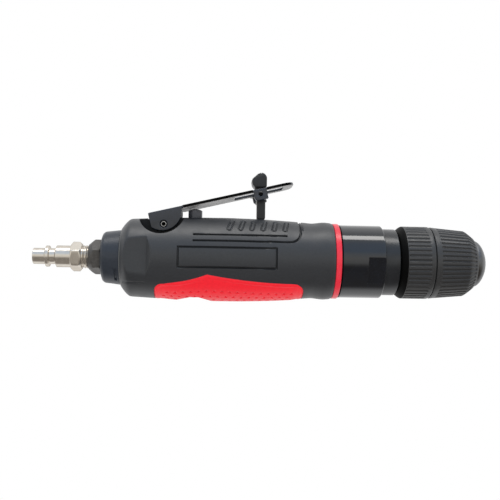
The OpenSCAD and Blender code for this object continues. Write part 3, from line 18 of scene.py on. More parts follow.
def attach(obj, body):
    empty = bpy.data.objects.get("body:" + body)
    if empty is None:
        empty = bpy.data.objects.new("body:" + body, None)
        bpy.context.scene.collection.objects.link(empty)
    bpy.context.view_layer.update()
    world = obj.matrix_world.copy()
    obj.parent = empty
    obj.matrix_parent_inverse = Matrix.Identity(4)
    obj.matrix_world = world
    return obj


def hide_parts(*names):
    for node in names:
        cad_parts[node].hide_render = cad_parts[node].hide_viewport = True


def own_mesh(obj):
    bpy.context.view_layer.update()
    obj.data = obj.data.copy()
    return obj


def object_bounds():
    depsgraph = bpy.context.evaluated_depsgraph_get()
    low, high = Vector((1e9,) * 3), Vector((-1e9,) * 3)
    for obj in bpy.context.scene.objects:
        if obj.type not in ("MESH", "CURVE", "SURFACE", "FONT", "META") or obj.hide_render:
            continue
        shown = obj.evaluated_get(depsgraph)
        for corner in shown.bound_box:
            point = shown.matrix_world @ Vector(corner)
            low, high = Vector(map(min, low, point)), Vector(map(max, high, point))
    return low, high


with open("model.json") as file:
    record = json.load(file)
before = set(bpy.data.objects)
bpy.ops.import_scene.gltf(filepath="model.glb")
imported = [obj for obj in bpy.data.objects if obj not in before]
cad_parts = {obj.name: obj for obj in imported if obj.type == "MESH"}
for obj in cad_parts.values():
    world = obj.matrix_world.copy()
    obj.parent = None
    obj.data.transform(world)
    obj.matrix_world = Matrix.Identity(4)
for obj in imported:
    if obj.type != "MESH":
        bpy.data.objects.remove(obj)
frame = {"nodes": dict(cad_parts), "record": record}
cad_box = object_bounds()
NODES = frame["nodes"]
MM = 0.001
SCENE = bpy.context.scene
SLOT_OF = {s["node"]: s["material_slot"] for s in frame["record"]["subparts"]}

# Stations along the axis, and sizes that several pieces share.
X_RING, X_NECK, X_COLLAR, X_HEX, X_THREAD, X_BUSH = 6.2, 8.8, 11.6, 19.8, 25.4, 29.0
X_SEAT, X_CAP, X_CAP_END, X_REAR, X_GRIP_END = 35.6, 35.9, 45.7, 46.0, 156.8
X_FRONT, X_CASE, X_NOSE, X_NOSE_END = 157.0, 160.2, 183.0, 190.7
X_CHUCK, X_SPLIT, X_FSLEEVE, X_FEND = 191.0, 209.0, 209.3, 232.7
X_PIVOT, Z_PIVOT, X_VALVE = 68.1, 17.4, 84.3
HOUSING_R, CASE_R, SLEEVE_R, FIT = 17.2, 19.3, 19.3, 0.03
LEVER_SLOPE = math.radians(13.5)


# Camera, stage and light.
def make_camera():
    azimuth, elevation, roll = math.radians(-2.6), math.radians(-4.2), math.radians(0.89)
    target = Vector((113.7, 0.0, 5.2)) * MM
    distance = 400.4 * MM
    focal_share, sensor = 751.5 / 500, 36.0
    back = Vector((math.sin(azimuth) * math.cos(elevation),
                   -math.cos(azimuth) * math.cos(elevation), math.sin(elevation)))
    data = bpy.data.cameras.new("camera")
    data.sensor_width = sensor
    data.lens = sensor * focal_share
    data.clip_start = 0.01
    cam = bpy.data.objects.new("camera", data)
    SCENE.collection.objects.link(cam)
    cam.location = target + back * distance
    cam.rotation_mode = "QUATERNION"
    cam.rotation_quaternion = (-back).to_track_quat("-Z", "Y") @ Quaternion((0, 0, 1), roll)
    SCENE.camera = cam


def link(tree, source, target):
    tree.links.new(source, target)


def add_node(tree, kind, **values):
    node = tree.nodes.new(kind)
    for key, value in values.items():
        if hasattr(node, key):
            setattr(node, key, value)
        else:
            node.inputs[key.replace("_", " ")].default_value = value
    return node


def ramp_node(tree, value, stops):
    node = tree.nodes.new("ShaderNodeValToRGB")
    elements = node.color_ramp.elements
    while len(elements) < len(stops):
        elements.new(0.5)
    for element, (place, color) in zip(elements, stops):
        element.position = place
        element.color = (*color, 1)
    link(tree, value, node.inputs[0])
    return node.outputs["Color"]


def range_node(tree, value, low, high, **values):
    node = add_node(tree, "ShaderNodeMapRange", From_Min=low, From_Max=high, **values)
    link(tree, value, node.inputs["Value"])
    return node.outputs[0]


def math_node(tree, operation, first, second):
    node = add_node(tree, "ShaderNodeMath", operation=operation)
    link(tree, first, node.inputs[0])
    link(tree, second, node.inputs[1])
    return node.outputs[0]


def noise_node(tree, place, cells, detail):
    node = add_node(tree, "ShaderNodeTexNoise", Scale=cells, Detail=detail)
    link(tree, place, node.inputs["Vector"])
    return node.outputs[0]


def mix_color(tree, factor, first, second):
    """Mixes a colour from nodes with a fixed one."""
    node = add_node(tree, "ShaderNodeMix", data_type="RGBA")
    link(tree, factor, node.inputs["Factor"])
    link(tree, first, node.inputs["A"])
    node.inputs["B"].default_value = (*second, 1)
    return node.outputs["Result"]


def mix_shader(tree, factor, first, second):
    node = add_node(tree, "ShaderNodeMixShader")
    for k, source in enumerate((factor, first, second)):
        link(tree, source, node.inputs[k])
    return node.outputs[0]


# The room in front of the drill, from straight down to straight up.
FRONT_STOPS = [
    (0.0, (0.2, 0.175, 0.15)), (0.29, (0.16, 0.135, 0.11)), (0.34, (0.22, 0.19, 0.155)),
    (0.39, (0.46, 0.43, 0.38)), (0.435, (0.8, 0.78, 0.73)), (0.55, (1.0, 0.97, 0.9)),
    (0.66, (0.88, 0.92, 0.95)), (0.74, (0.64, 0.78, 0.98)), (0.9, (0.68, 0.8, 0.98)),
    (0.965, (0.92, 0.94, 0.95)), (1.0, (0.95, 0.95, 0.95))]
BACKDROP, ROOM_STRENGTH = (0.95, 0.95, 0.95), 0.85


def make_world():
    world = bpy.data.worlds.new("studio")
    SCENE.world = world
    world.use_nodes = True
    tree = world.node_tree
    tree.nodes.clear()
    place = add_node(tree, "ShaderNodeTexCoord")
    parts = add_node(tree, "ShaderNodeSeparateXYZ")
    link(tree, place.outputs["Generated"], parts.inputs[0])
    front = ramp_node(tree, range_node(tree, parts.outputs["Z"], -1.0, 1.0), FRONT_STOPS)
    behind = range_node(tree, parts.outputs["Y"], -0.05, 0.4, interpolation_type="SMOOTHSTEP")
    room = add_node(tree, "ShaderNodeBackground", Strength=ROOM_STRENGTH)
    link(tree, mix_color(tree, behind, front, BACKDROP), room.inputs["Color"])
    white = add_node(tree, "ShaderNodeBackground", Color=(1, 1, 1, 1), Strength=1.0)
    path = add_node(tree, "ShaderNodeLightPath")
    mirrored = math_node(tree, "MULTIPLY", path.outputs["Is Glossy Ray"], behind)
    direct = math_node(tree, "MAXIMUM", path.outputs["Is Camera Ray"], path.outputs["Is Transmission Ray"])
    shown = math_node(tree, "MAXIMUM", mirrored, direct)
    out = add_node(tree, "ShaderNodeOutputWorld")
    link(tree, mix_shader(tree, shown, room.outputs[0], white.outputs[0]), out.inputs["Surface"])


def make_floor():
    """A pale floor that fades out round the drill and shows nothing from below."""
    half, gap, middle, near, far = 2.5, 0.0004, 0.12, 0.16, 0.6
    low = cad_box[0][2] - gap
    mesh = bpy.data.meshes.new("floor")
    mesh.from_pydata([(-half, -half, low), (half, -half, low), (half, half, low), (-half, half, low)],
                     [], [(0, 1, 2, 3)])
    floor = bpy.data.objects.new("floor", mesh)
    SCENE.collection.objects.link(floor)
    mat = bpy.data.materials.new("floor_paper")
    mat.use_nodes = True
    tree = mat.node_tree
    tree.nodes.clear()
    face = add_node(tree, "ShaderNodeBsdfDiffuse", Color=(0.8, 0.8, 0.8, 1))
    through = add_node(tree, "ShaderNodeBsdfTransparent")
    geometry = add_node(tree, "ShaderNodeNewGeometry")
    spot = add_node(tree, "ShaderNodeVectorMath", operation="DISTANCE")
    spot.inputs[1].default_value = (middle, 0, low)
    link(tree, geometry.outputs["Position"], spot.inputs[0])
    fade = range_node(tree, spot.outputs["Value"], near, far, interpolation_type="SMOOTHSTEP")
    open_share = math_node(tree, "MAXIMUM", geometry.outputs["Backfacing"], fade)
    out = add_node(tree, "ShaderNodeOutputMaterial")
    link(tree, mix_shader(tree, open_share, face.outputs[0], through.outputs[0]), out.inputs["Surface"])
    mesh.materials.append(mat)
    floor.visible_diffuse = floor.visible_glossy = floor.visible_transmission = floor.visible_shadow = False


def make_lamp(name, place, size, power, color, mirrored=True):
    aim = Vector((0.12, 0.0, 0.0))
    data = bpy.data.lights.new(name, "AREA")
    data.shape = "RECTANGLE"
    data.size, data.size_y = size
    data.energy = power
    data.color = color
    lamp = bpy.data.objects.new(name, data)
    SCENE.collection.objects.link(lamp)
    lamp.location = place
    lamp.rotation_mode = "QUATERNION"
    lamp.rotation_quaternion = (aim - Vector(place)).to_track_quat("-Z", "Y")
    lamp.visible_glossy = mirrored


make_camera()
make_world()
make_floor()
make_lamp("softbox", (0.12, -0.2, 0.9), size=(1.3, 0.25), power=5.4, color=(1.0, 0.98, 0.95))
make_lamp("fill", (0.12, -0.55, -0.45), size=(0.9, 0.5), power=3.6, color=(1.0, 1.0, 1.0), mirrored=False)
SCENE.view_settings.view_transform = "Standard"


# Materials. Texture sizes are in cells per metre, because a piece's coordinates are metres.
def finish(name, color, rough, metallic, tint, cells, rough_by, bump, bump_cells=2600.0, bump_depth=0.00004,
           turned=0.0, worn=None, hollow_shade=0.0, **sockets):
    """A procedural material: colour mottled by tint, roughness clouded by rough_by, and fine grain or
    turning marks, with painted shade darkening hollows or pale worn edges where they are asked for."""
    low, high, drag, hollow_dim = 0.3, 0.7, 0.004, 0.12
    mat = bpy.data.materials.new(name)
    mat.use_nodes = True
    tree = mat.node_tree
    shader = tree.nodes["Principled BSDF"]
    shader.inputs["Metallic"].default_value = metallic
    for key, value in sockets.items():
        shader.inputs[key.replace("_", " ")].default_value = value
    place = add_node(tree, "ShaderNodeTexCoord").outputs["Object"]
    dark = tuple(c * (1 - tint) for c in color)
    pale = tuple(min(1.0, c * (1 + tint)) for c in color)
    base = ramp_node(tree, noise_node(tree, place, cells, 4.0), [(low, dark), (high, pale)])
    cloud = noise_node(tree, place, cells / 9, 3.0)
    gloss = range_node(tree, cloud, low, high, To_Min=rough - rough_by, To_Max=rough + rough_by)
    if turned:
        rings = add_node(tree, "ShaderNodeMapping")
        rings.inputs["Scale"].default_value = (turned, turned * drag, turned * drag)
        link(tree, place, rings.inputs["Vector"])
        height = noise_node(tree, rings.outputs[0], 1.0, 2.0)
    else:
        height = noise_node(tree, place, bump_cells, 3.0)
    relief = add_node(tree, "ShaderNodeBump", Strength=bump, Distance=bump_depth)
    link(tree, height, relief.inputs["Height"])
    link(tree, relief.outputs[0], shader.inputs["Normal"])
    edge = add_node(tree, "ShaderNodeNewGeometry").outputs["Pointiness"]
    # Painted shade: concave places, found by low pointiness, get a darker base colour by the given share.
    if hollow_shade:
        sunk = range_node(tree, edge, 0.38, 0.49, To_Min=hollow_shade, To_Max=0.0)
        base = mix_color(tree, sunk, base, tuple(c * hollow_dim for c in color))
    if worn:
        broken = math_node(tree, "MULTIPLY", range_node(tree, edge, 0.53, 0.62), cloud)
        base = mix_color(tree, broken, base, worn)
    link(tree, base, shader.inputs["Base Color"])
    link(tree, gloss, shader.inputs["Roughness"])
    return mat


# After its colour, each finish gives its roughness, metallic share, tint, mottle cells, spread of
# roughness, bump strength, and then its bump cells and depth or the fineness of its turning marks.
LOOKS = {
    "plated_steel": finish("nickel_plate", (0.74, 0.69, 0.62), 0.17, 0.85, 0.05, 400, 0.06, 0.2,
                           turned=9000, Specular_Tint=(0.5, 0.47, 0.44, 1.0)),
    "bushing": finish("dark_phosphate", (0.084, 0.08, 0.076), 0.42, 0.4, 0.2, 900, 0.08, 0.2, 3000),
    "blackened_steel": finish("black_oxide", (0.004, 0.006, 0.01), 0.14, 0.0, 0.15, 300, 0.04, 0.06,
                              1200, Specular_IOR_Level=0.65),
    "black_enamel": finish("black_enamel", (0.004, 0.006, 0.01), 0.1, 0.0, 0.15, 300, 0.03, 0.05, 900,
                           worn=(0.1, 0.1, 0.1), Specular_IOR_Level=0.85),
    # Painted shade: a dull black with almost no reflection, put on rims, chamfers, edges and bores that lie
    # in shade.
    "shade_black": finish("shade_black_paint", (0.002, 0.002, 0.002), 0.5, 0.0, 0.15, 300, 0.04, 0.06, 900,
                      Specular_IOR_Level=0.06),
    "button": finish("button_steel", (0.08, 0.084, 0.102), 0.3, 0.0, 0.15, 500, 0.06, 0.1, 2000),
    "lever_paint": finish("lever_paint", (0.012, 0.017, 0.028), 0.2, 0.0, 0.15, 500, 0.05, 0.1, 1500,
                          worn=(0.03, 0.036, 0.05), Specular_IOR_Level=0.7),
    "lever_under": finish("lever_underside", (0.5, 0.5, 0.5), 0.5, 0.3, 0.15, 500, 0.06, 0.15, 1500),
    "lock_paint": finish("lock_coating", (0.011, 0.012, 0.014), 0.36, 0.0, 0.15, 700, 0.06, 0.15, 2200,
                         worn=(0.1, 0.1, 0.1)),
    # The grip, insert and sleeve looks darken their hollows: painted shade in grooves, dimples and knurls.
    "grip_plastic": finish("grip_elastomer", (0.0245, 0.0265, 0.0305), 0.42, 0.0, 0.12, 1400, 0.05, 0.3,
                           3200, 0.00005, worn=(0.05, 0.05, 0.052), hollow_shade=0.85, Specular_IOR_Level=0.6),
    "cap_plastic": finish("cap_plastic", (0.026, 0.0315, 0.042), 0.36, 0.0, 0.1, 900, 0.05, 0.15, 2600,
                          Specular_IOR_Level=0.4),
    # Painted highlight: a pale copy of the grip plastic for the grip's rear rim, where light catches the
    # edge.
    "grip_rim_highlight": finish("grip_rim_highlight", (0.13, 0.132, 0.13), 0.5, 0.0, 0.12, 1400, 0.05, 0.3, 3200),
    # Painted shade: near-black for the ear pocket's side walls and the motor housing seen in it, which lie
    # in shade.
    "pocket_shade": finish("pocket_shade", (0.006, 0.0075, 0.0095), 0.5, 0.0, 0.12, 900, 0.05, 0.2, 2600,
                           Specular_IOR_Level=0.25),
    "red_plastic": finish("red_elastomer", (0.95, 0.0185, 0.034), 0.4, 0.0, 0.05, 900, 0.06, 0.2, 2600,
                          hollow_shade=0.6, Specular_IOR_Level=0.35),
    "red_ring": finish("red_anodised", (0.8, 0.028, 0.055), 0.28, 0.0, 0.05, 900, 0.05, 0.15, turned=7000),
    "sleeve_plastic": finish("sleeve_nylon", (0.027, 0.0275, 0.029), 0.42, 0.0, 0.14, 1600, 0.06, 0.25,
                             3400, hollow_shade=0.8, Specular_IOR_Level=0.6),
    "nose_black": finish("nose_black", (0.0115, 0.013, 0.016), 0.28, 0.0, 0.15, 300, 0.04, 0.06, 1200,
                         Specular_IOR_Level=0.58),
    "nose_steel": finish("satin_steel", (0.155, 0.156, 0.16), 0.4, 1.0, 0.12, 900, 0.06, 0.3, turned=7000),
    "cast_aluminium": finish("cast_aluminium", (0.1, 0.1, 0.105), 0.45, 0.6, 0.2, 700, 0.1, 0.3, 1800),
    "cast_iron": finish("ground_iron", (0.3, 0.3, 0.29), 0.4, 1.0, 0.15, 900, 0.1, 0.25, 2600),
    "tool_steel": finish("turned_steel", (0.6, 0.6, 0.59), 0.32, 1.0, 0.08, 600, 0.08, 0.25, turned=8000),
    "spring_steel": finish("drawn_wire", (0.42, 0.42, 0.42), 0.3, 1.0, 0.1, 900, 0.08, 0.15, 4000),
    "brass": finish("turned_brass", (0.72, 0.52, 0.2), 0.28, 1.0, 0.08, 600, 0.08, 0.2, turned=8000),
    "rubber": finish("nitrile", (0.02, 0.02, 0.02), 0.6, 0.0, 0.2, 1500, 0.08, 0.3, 4000),
    "felt": finish("pressed_felt", (0.55, 0.52, 0.45), 0.9, 0.0, 0.25, 2600, 0.04, 0.9, 5200, 0.0002,
                   Sheen_Weight=0.4),
    "blade_composite": finish("laminate", (0.28, 0.17, 0.08), 0.5, 0.0, 0.3, 1200, 0.08, 0.3, 3000),
}
# Nodes whose look isn't the one named by their material slot. The motor housing takes the near-black of
# painted shade, and the lock pin the dull black of painted shade.
NODE_LOOKS = {"inlet_bushing": "bushing", "throttle_lever": "lever_paint", "safety_lock": "lock_paint",
              "exhaust_deflector": "cap_plastic", "trim_ring": "red_ring", "chuck_body": "nose_steel",
              "nose_cap": "nose_black", "lever_pin": "spring_steel",
              "motor_housing": "pocket_shade", "valve_stem": "button", "lock_pin": "shade_black"}


def look_of(node):
    return LOOKS[NODE_LOOKS.get(node, SLOT_OF[node])]


# Mesh helpers.
@contextlib.contextmanager
def mesh_work(mesh):
    """Opens a mesh for editing and writes it back."""
    work = bmesh.new()
    work.from_mesh(mesh)
    yield work
    work.to_mesh(mesh)
    work.free()


def shaded(mesh, sharp):
    mesh.shade_smooth()
    mesh.set_sharp_from_angle(angle=math.radians(sharp))


def raw_object(name, points, faces):
    mesh = bpy.data.meshes.new(name)
    mesh.from_pydata((np.asarray(points, float) * MM).tolist(), [], faces)
    mesh.update()
    obj = bpy.data.objects.new(name, mesh)
    SCENE.collection.objects.link(obj)
    return obj


def settle(obj, node, body, sharp=30):
    """Clears slivers from a finished piece, and gives it its material and body in place of its
    CAD node, which it hides."""
    sliver = 3e-6
    with mesh_work(obj.data) as work:
        bmesh.ops.triangulate(work, faces=[f for f in work.faces if len(f.verts) > 4])
        bmesh.ops.dissolve_degenerate(work, dist=sliver, edges=work.edges)
    shaded(obj.data, sharp)
    obj.data.materials.clear()
    obj.data.materials.append(look_of(node))
    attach(obj, body)
    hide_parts(node)
    return obj


def add_looks(obj, looks, choose):
    """Adds looks to a settled piece; choose(middle, normal) gives a face's look, 0 for the first."""
    for look in looks:
        obj.data.materials.append(LOOKS[look])
    for face in obj.data.polygons:
        face.material_index = choose(face.center / MM, face.normal)


def ring_faces(rings, around, closed):
    faces = []
    for i in range(rings if closed else rings - 1):
        a, b = i * around, (i + 1) % rings * around
        for j in range(around):
            k = (j + 1) % around
            faces.append((a + j, a + k, b + k, b + j))
    if not closed:
        faces.append(tuple(range(around - 1, -1, -1)))
        faces.append(tuple(range((rings - 1) * around, rings * around)))
    return faces


def ring_solid(name, points, closed=True):
    """A solid through rings of points; closed joins the last ring to the first."""
    rings, around = points.shape[:2]
    return raw_object(name, points.reshape(-1, 3), ring_faces(rings, around, closed))


def polar(xs, radii, phis):
    """Points of rings about the axis; radii is one number a ring or one a point."""
    radii = np.asarray(radii, float)
    if radii.ndim == 1:
        radii = np.repeat(radii[:, None], len(phis), 1)
    xs = np.repeat(np.asarray(xs, float)[:, None], len(phis), 1)
    return np.stack([xs, radii * np.cos(phis), radii * np.sin(phis)], 2)


class Turned:
    """The closed profile of a turned piece, ring by ring."""

    def __init__(self, phis):
        self.phis, self.xs, self.radii = phis, [], []

    def add(self, x, radius):
        self.xs.append(x)
        self.radii.append(radius * np.ones(len(self.phis)))

    def add_all(self, pairs):
        for x, radius in pairs:
            self.add(x, radius)

    def solid(self, name):
        return ring_solid(name, polar(self.xs, np.array(self.radii), self.phis))


def full_turn(count, start=0.0):
    return start + np.arange(count) * 2 * np.pi / count


def rounded(corners):
    """Outline points of corners (x, r, fillet radius), going round, with the fillets drawn."""
    steps, most = 4, 0.48
    out = []
    for i, (x, r, fillet) in enumerate(corners):
        here = np.array([x, r], float)
        if fillet <= 0:
            out.append(here)
            continue
        before = np.array(corners[i - 1][:2], float) - here
        after = np.array(corners[(i + 1) % len(corners)][:2], float) - here
        u, v = before / np.linalg.norm(before), after / np.linalg.norm(after)
        half = math.acos(np.clip(u @ v, -1, 1)) / 2
        run = min(fillet / math.tan(half), most * np.linalg.norm(before), most * np.linalg.norm(after))
        radius = run * math.tan(half)
        centre = here + (u + v) / np.linalg.norm(u + v) * radius / math.sin(half)
        a, b = here + u * run - centre, here + v * run - centre
        turn = math.atan2(a[0] * b[1] - a[1] * b[0], a @ b)
        for s in range(steps + 1):
            g = turn * s / steps
            out.append(centre + np.array([a[0] * math.cos(g) - a[1] * math.sin(g),
                                          a[0] * math.sin(g) + a[1] * math.cos(g)]))
    return np.array(out)


def lathe(name, corners, around=144):
    outline = rounded(corners)
    return ring_solid(name, polar(outline[:, 0], outline[:, 1], full_turn(around)))


def outward(obj):
    """Turns all faces of a closed mesh outward."""
    with mesh_work(obj.data) as work:
        bmesh.ops.recalc_face_normals(work, faces=work.faces)
    return obj


def y_prism(name, outline, low, high):
    """Cutter with an outline in the XZ plane, from y = low to y = high."""
    return outward(ring_solid(name, np.array([[(x, y, z) for x, z in outline] for y in (low, high)]), False))


def z_prism(name, outline, low, high):
    """Cutter with an outline in the XY plane, from z = low to z = high."""
    return outward(ring_solid(name, np.array([[(x, y, z) for x, y in outline] for z in (low, high)]), False))


def cut(obj, tool, operation="DIFFERENCE"):
    """Applies one boolean to obj and removes the tool."""
    modifier = obj.modifiers.new("cut", "BOOLEAN")
    modifier.operation = operation
    modifier.solver = "MANIFOLD"
    modifier.object = tool
    graph = bpy.context.evaluated_depsgraph_get()
    mesh = bpy.data.meshes.new_from_object(obj.evaluated_get(graph))
    obj.modifiers.clear()
    old = obj.data
    obj.data = mesh
    bpy.data.meshes.remove(old)
    bpy.data.objects.remove(tool)


def plate(name, outlines, thick, bevel, to_space):
    """A flat plate with rounded edges; the first outline is its rim and the rest are holes."""
    same_point = 1e-4
    curve = bpy.data.curves.new(name, "CURVE")
    curve.dimensions = "2D"
    curve.fill_mode = "BOTH"
    curve.extrude = thick / 2 - bevel
    curve.bevel_depth = bevel
    curve.bevel_resolution = 3
    curve.offset = -bevel
    for outline in outlines:
        spline = curve.splines.new("POLY")
        spline.points.add(len(outline) - 1)
        spline.points.foreach_set("co", [c for x, y in outline for c in (x, y, 0, 1)])
        spline.use_cyclic_u = True
    holder = bpy.data.objects.new(name + "_outline", curve)
    SCENE.collection.objects.link(holder)
    graph = bpy.context.evaluated_depsgraph_get()
    mesh = bpy.data.meshes.new_from_object(holder.evaluated_get(graph))
    bpy.data.objects.remove(holder)
    with mesh_work(mesh) as work:
        bmesh.ops.remove_doubles(work, verts=work.verts, dist=same_point)
        bmesh.ops.recalc_face_normals(work, faces=work.faces)
        moved = to_space(np.array([v.co for v in work.verts])) * MM
        for vertex, place in zip(work.verts, moved.tolist()):
            vertex.co = place
    obj = bpy.data.objects.new(name, mesh)
    SCENE.collection.objects.link(obj)
    return outward(obj)


def arc(cx, cy, r, start, end, steps=16):
    angles = np.radians(np.linspace(start, end, steps + 1))
    return [(cx + r * math.cos(g), cy + r * math.sin(g)) for g in angles]


def circle(cx, cy, r, steps=40):
    return arc(cx, cy, r, 0, 360 - 360 / steps, steps - 1)


def rectangle(low, high, half):
    return [(low, -half), (high, -half), (high, half), (low, half)]


def round_rectangle(low, high, half, corner, steps):
    return (arc(low + corner, corner - half, corner, 270, 180, steps)
            + arc(low + corner, half - corner, corner, 180, 90, steps)
            + arc(high - corner, half - corner, corner, 90, 0, steps)
            + arc(high - corner, corner - half, corner, 360, 270, steps))


def ease(t):
    return t * t * (3 - 2 * t)


def smooth_min(a, b, width):
    mix = np.maximum(width - np.abs(a - b), 0) / width
    return np.minimum(a, b) - mix * mix * width / 4


def stations(low, high, coarse, fine, spots, reach):
    """Places from low to high, set closer within reach of the spots."""
    growth = 0.3
    out = [low]
    while out[-1] < high:
        near = min(max(0.0, abs(out[-1] - s) - reach) for s in spots)
        out.append(out[-1] + min(coarse, fine + growth * near))
    out = np.array(out)
    return low + (out - low) * (high - low) / (out[-1] - low)


# The grip.
SHOULDER_R, BELLY_R, WAIST_R, MEAN_R = 20.5, 21.95, 19.9, 21.6
SHOULDER_LEN, SHOULDER_FALL, SHOULDER_BEND, BELLY_AT = 5.5, 5.5, 1.6, 55.0
WAIST_BACK, FLARE_BACK, FLARE_RISE, END_FALL = 11.2, 3.8, 0.65, 0.35
NECK_R, NECK_END = 13.63, 50.37
FLAT_R, FLAT_END, RAMP_LEN, RAMP_RISE, FLAT_GONE = 18.45, 60.2, 3.4, 3.5, 66.0
PANEL, PANEL_DROP, PANEL_IN = (75.9, 126.8, 5.6), 0.35, 0.45
GROOVE_W, GROOVE_DEPTH = 0.95, 1.15
LOW_Z, HIGH_Z, GROOVE_X, BEND_X, BEND_R, HIGH_END = 8.15, 11.4, 84.2, 133.5, 5.5, 131.6
TWIN_GAP, TWIN_SLIM, TWIN_SHALLOW = 1.0, 0.7, 0.6
PAD_X = [102.1, 108.0, 113.8, 119.5, 125.2, 130.9]
PAD_SLANT = [1.8, 1.6, 1.2, 1.2, 1.2, 1.3]
PAD_LOW, PAD_HIGH, PAD_HALF, PAD_EDGE, PAD_DEPTH = 14.7, 18.9, 1.0, 0.4, 0.6
SEAM, SEAM_HALF, SEAM_DEPTH = (48.5, -13.4, 59.0, -13.7), 0.5, 0.3
FAR, OUTSIDE = 99.0, 30.0


def grip_base(x):
    """Radius of the plain grip."""
    x = np.asarray(x, float)
    shoulder, belly = X_REAR + SHOULDER_LEN, X_REAR + BELLY_AT
    waist, flare = X_GRIP_END - WAIST_BACK, X_GRIP_END - FLARE_BACK

    def share(low, high):
        return np.clip((x - low) / (high - low), 0, 1)

    a = SHOULDER_R - SHOULDER_FALL * (1 - share(X_REAR, shoulder)) ** SHOULDER_BEND
    b = BELLY_R - (BELLY_R - SHOULDER_R) * (1 - share(shoulder, belly)) ** 2
    c = BELLY_R - (BELLY_R - WAIST_R) * share(belly, waist) ** 2
    d = WAIST_R + FLARE_RISE * ease(share(waist, flare))
    e = WAIST_R + FLARE_RISE - END_FALL * share(flare, X_GRIP_END)
    return np.select([x < shoulder, x < belly, x < waist, x < flare], [a, b, c, d], e)


def trench(distance, half, depth):
    """Depth of a rounded groove at a distance from its middle line."""
    share = np.clip(distance / half, 0, 1)
    return depth * (1 - share ** 4)


def to_segment(px, py, ax, ay, bx, by):
    dx, dy = bx - ax, by - ay
    t = np.clip(((px - ax) * dx + (py - ay) * dy) / (dx * dx + dy * dy), 0, 1)
    return np.hypot(px - ax - t * dx, py - ay - t * dy)


def grip_radius(x, phi):
    """Radius of the grip with its flats, panel frame, grooves, slot outlines and mould seam."""
    base = grip_base(x)
    side, up = np.abs(np.cos(phi)), np.sin(phi)
    height = base * up
    along = base * np.arcsin(np.clip(up, -1, 1))
    flat = FLAT_R + np.maximum(x - FLAT_END, 0) / RAMP_LEN * RAMP_RISE
    flat = np.where(x > FLAT_GONE, FAR, flat)
    r = smooth_min(base, flat / np.maximum(side, 0.05), 0.1)
    half = GROOVE_W / 2
    mid = (PANEL[0] + PANEL[1]) / 2
    qx = np.abs(x - mid) - (PANEL[1] - PANEL[0]) / 2 + half
    qy = np.abs(height + PANEL_DROP) - PANEL[2] + half
    box = np.hypot(np.maximum(qx, 0), np.maximum(qy, 0)) + np.minimum(np.maximum(qx, qy), 0)
    r = r - trench(np.abs(box), half, GROOVE_DEPTH)
    r = r - trench(to_segment(x, height, GROOVE_X, HIGH_Z, HIGH_END, HIGH_Z), half, GROOVE_DEPTH)
    bend_top, bend_end = LOW_Z + BEND_R, BEND_X + BEND_R
    low = to_segment(x, height, GROOVE_X, LOW_Z, BEND_X, LOW_Z)
    ring = np.abs(np.hypot(x - BEND_X, height - LOW_Z - BEND_R) - BEND_R)
    ring = np.where((x > BEND_X) & (height < bend_top), ring, FAR)
    rise = np.where(height > bend_top, np.abs(x - bend_end), FAR)
    twin = np.where(height > bend_top + TWIN_GAP, np.abs(x - bend_end - TWIN_GAP), FAR)
    r = r - trench(np.minimum(np.minimum(low, ring), rise), half, GROOVE_DEPTH)
    r = r - trench(twin, half * TWIN_SLIM, GROOVE_DEPTH * TWIN_SHALLOW)
    foot, head = (np.arcsin(z / MEAN_R) * MEAN_R for z in (PAD_LOW, PAD_HIGH))
    for pad, slant in zip(PAD_X, PAD_SLANT):
        away = to_segment(x, along, pad, foot, pad + slant, head)
        r = r - trench(np.abs(away - PAD_HALF), PAD_EDGE, PAD_DEPTH)
    return r - trench(to_segment(x, height, *SEAM), SEAM_HALF, SEAM_DEPTH)


INSERT_LOW, INSERT_HIGH, INSERT_PEAK, INSERT_CORNER, INSERT_DEPTH = 64.2, 141.2, 91.2, 4.0, 1.57
EDGE_REAR, EDGE_TOP, EDGE_FRONT = -13.4, -8.8, -13.0
INSERT_DROP, DROP_REAR, DROP_FRONT = 0.55, 13.0, 6.5
BENCH_AT, BENCH_CUT, BENCH_RIM = 119.0, 0.25, X_SPLIT - 0.6
REGULATOR_HOLE, BUTTON_HOLE = 4.8, 4.0


def insert_hang(x):
    """Share of the insert's drop at each place along the axis."""
    return ease(np.clip(np.minimum((x - INSERT_LOW) / DROP_REAR, (INSERT_HIGH - x) / DROP_FRONT), 0, 1))


def bench_depth(x):
    """Depth of the flat on which the drill lies, in line with the chuck's rim."""
    deep = float(grip_base(np.array([BENCH_AT]))[0]) + INSERT_DROP - BENCH_CUT
    return deep - (deep - SLEEVE_R) / (BENCH_RIM - BENCH_AT) * (x - BENCH_AT)


def insert_height(x, gap):
    """Height of the insert's upper edge at each place along the axis."""
    low, high, corner = INSERT_LOW - gap, INSERT_HIGH + gap, INSERT_CORNER
    rear, top, front = gap + EDGE_REAR, gap + EDGE_TOP, gap + EDGE_FRONT
    t = np.clip((x - low - corner) / (INSERT_PEAK - low - corner), 0, 1)
    a = rear + (top - rear) * t ** 2
    t = np.clip((x - INSERT_PEAK) / (high - corner - INSERT_PEAK), 0, 1)
    b = front + (top - front) * (1 - t) ** 2
    z = np.where(x < INSERT_PEAK, a, b)
    near = corner - np.minimum(x - low, high - x)
    bend = corner - np.sqrt(np.maximum(corner ** 2 - np.clip(near, 0, corner) ** 2, 0))
    return z - bend


def insert_columns(gap):
    bend_steps, middle_steps = 14, 190
    low, high, corner = INSERT_LOW - gap, INSERT_HIGH + gap, INSERT_CORNER
    turn = corner * (1 - np.cos(np.linspace(0, np.pi / 2, bend_steps)))
    middle = np.linspace(low + corner, high - corner, middle_steps)[1:-1]
    return np.concatenate([low + turn, middle, high - turn[::-1]])


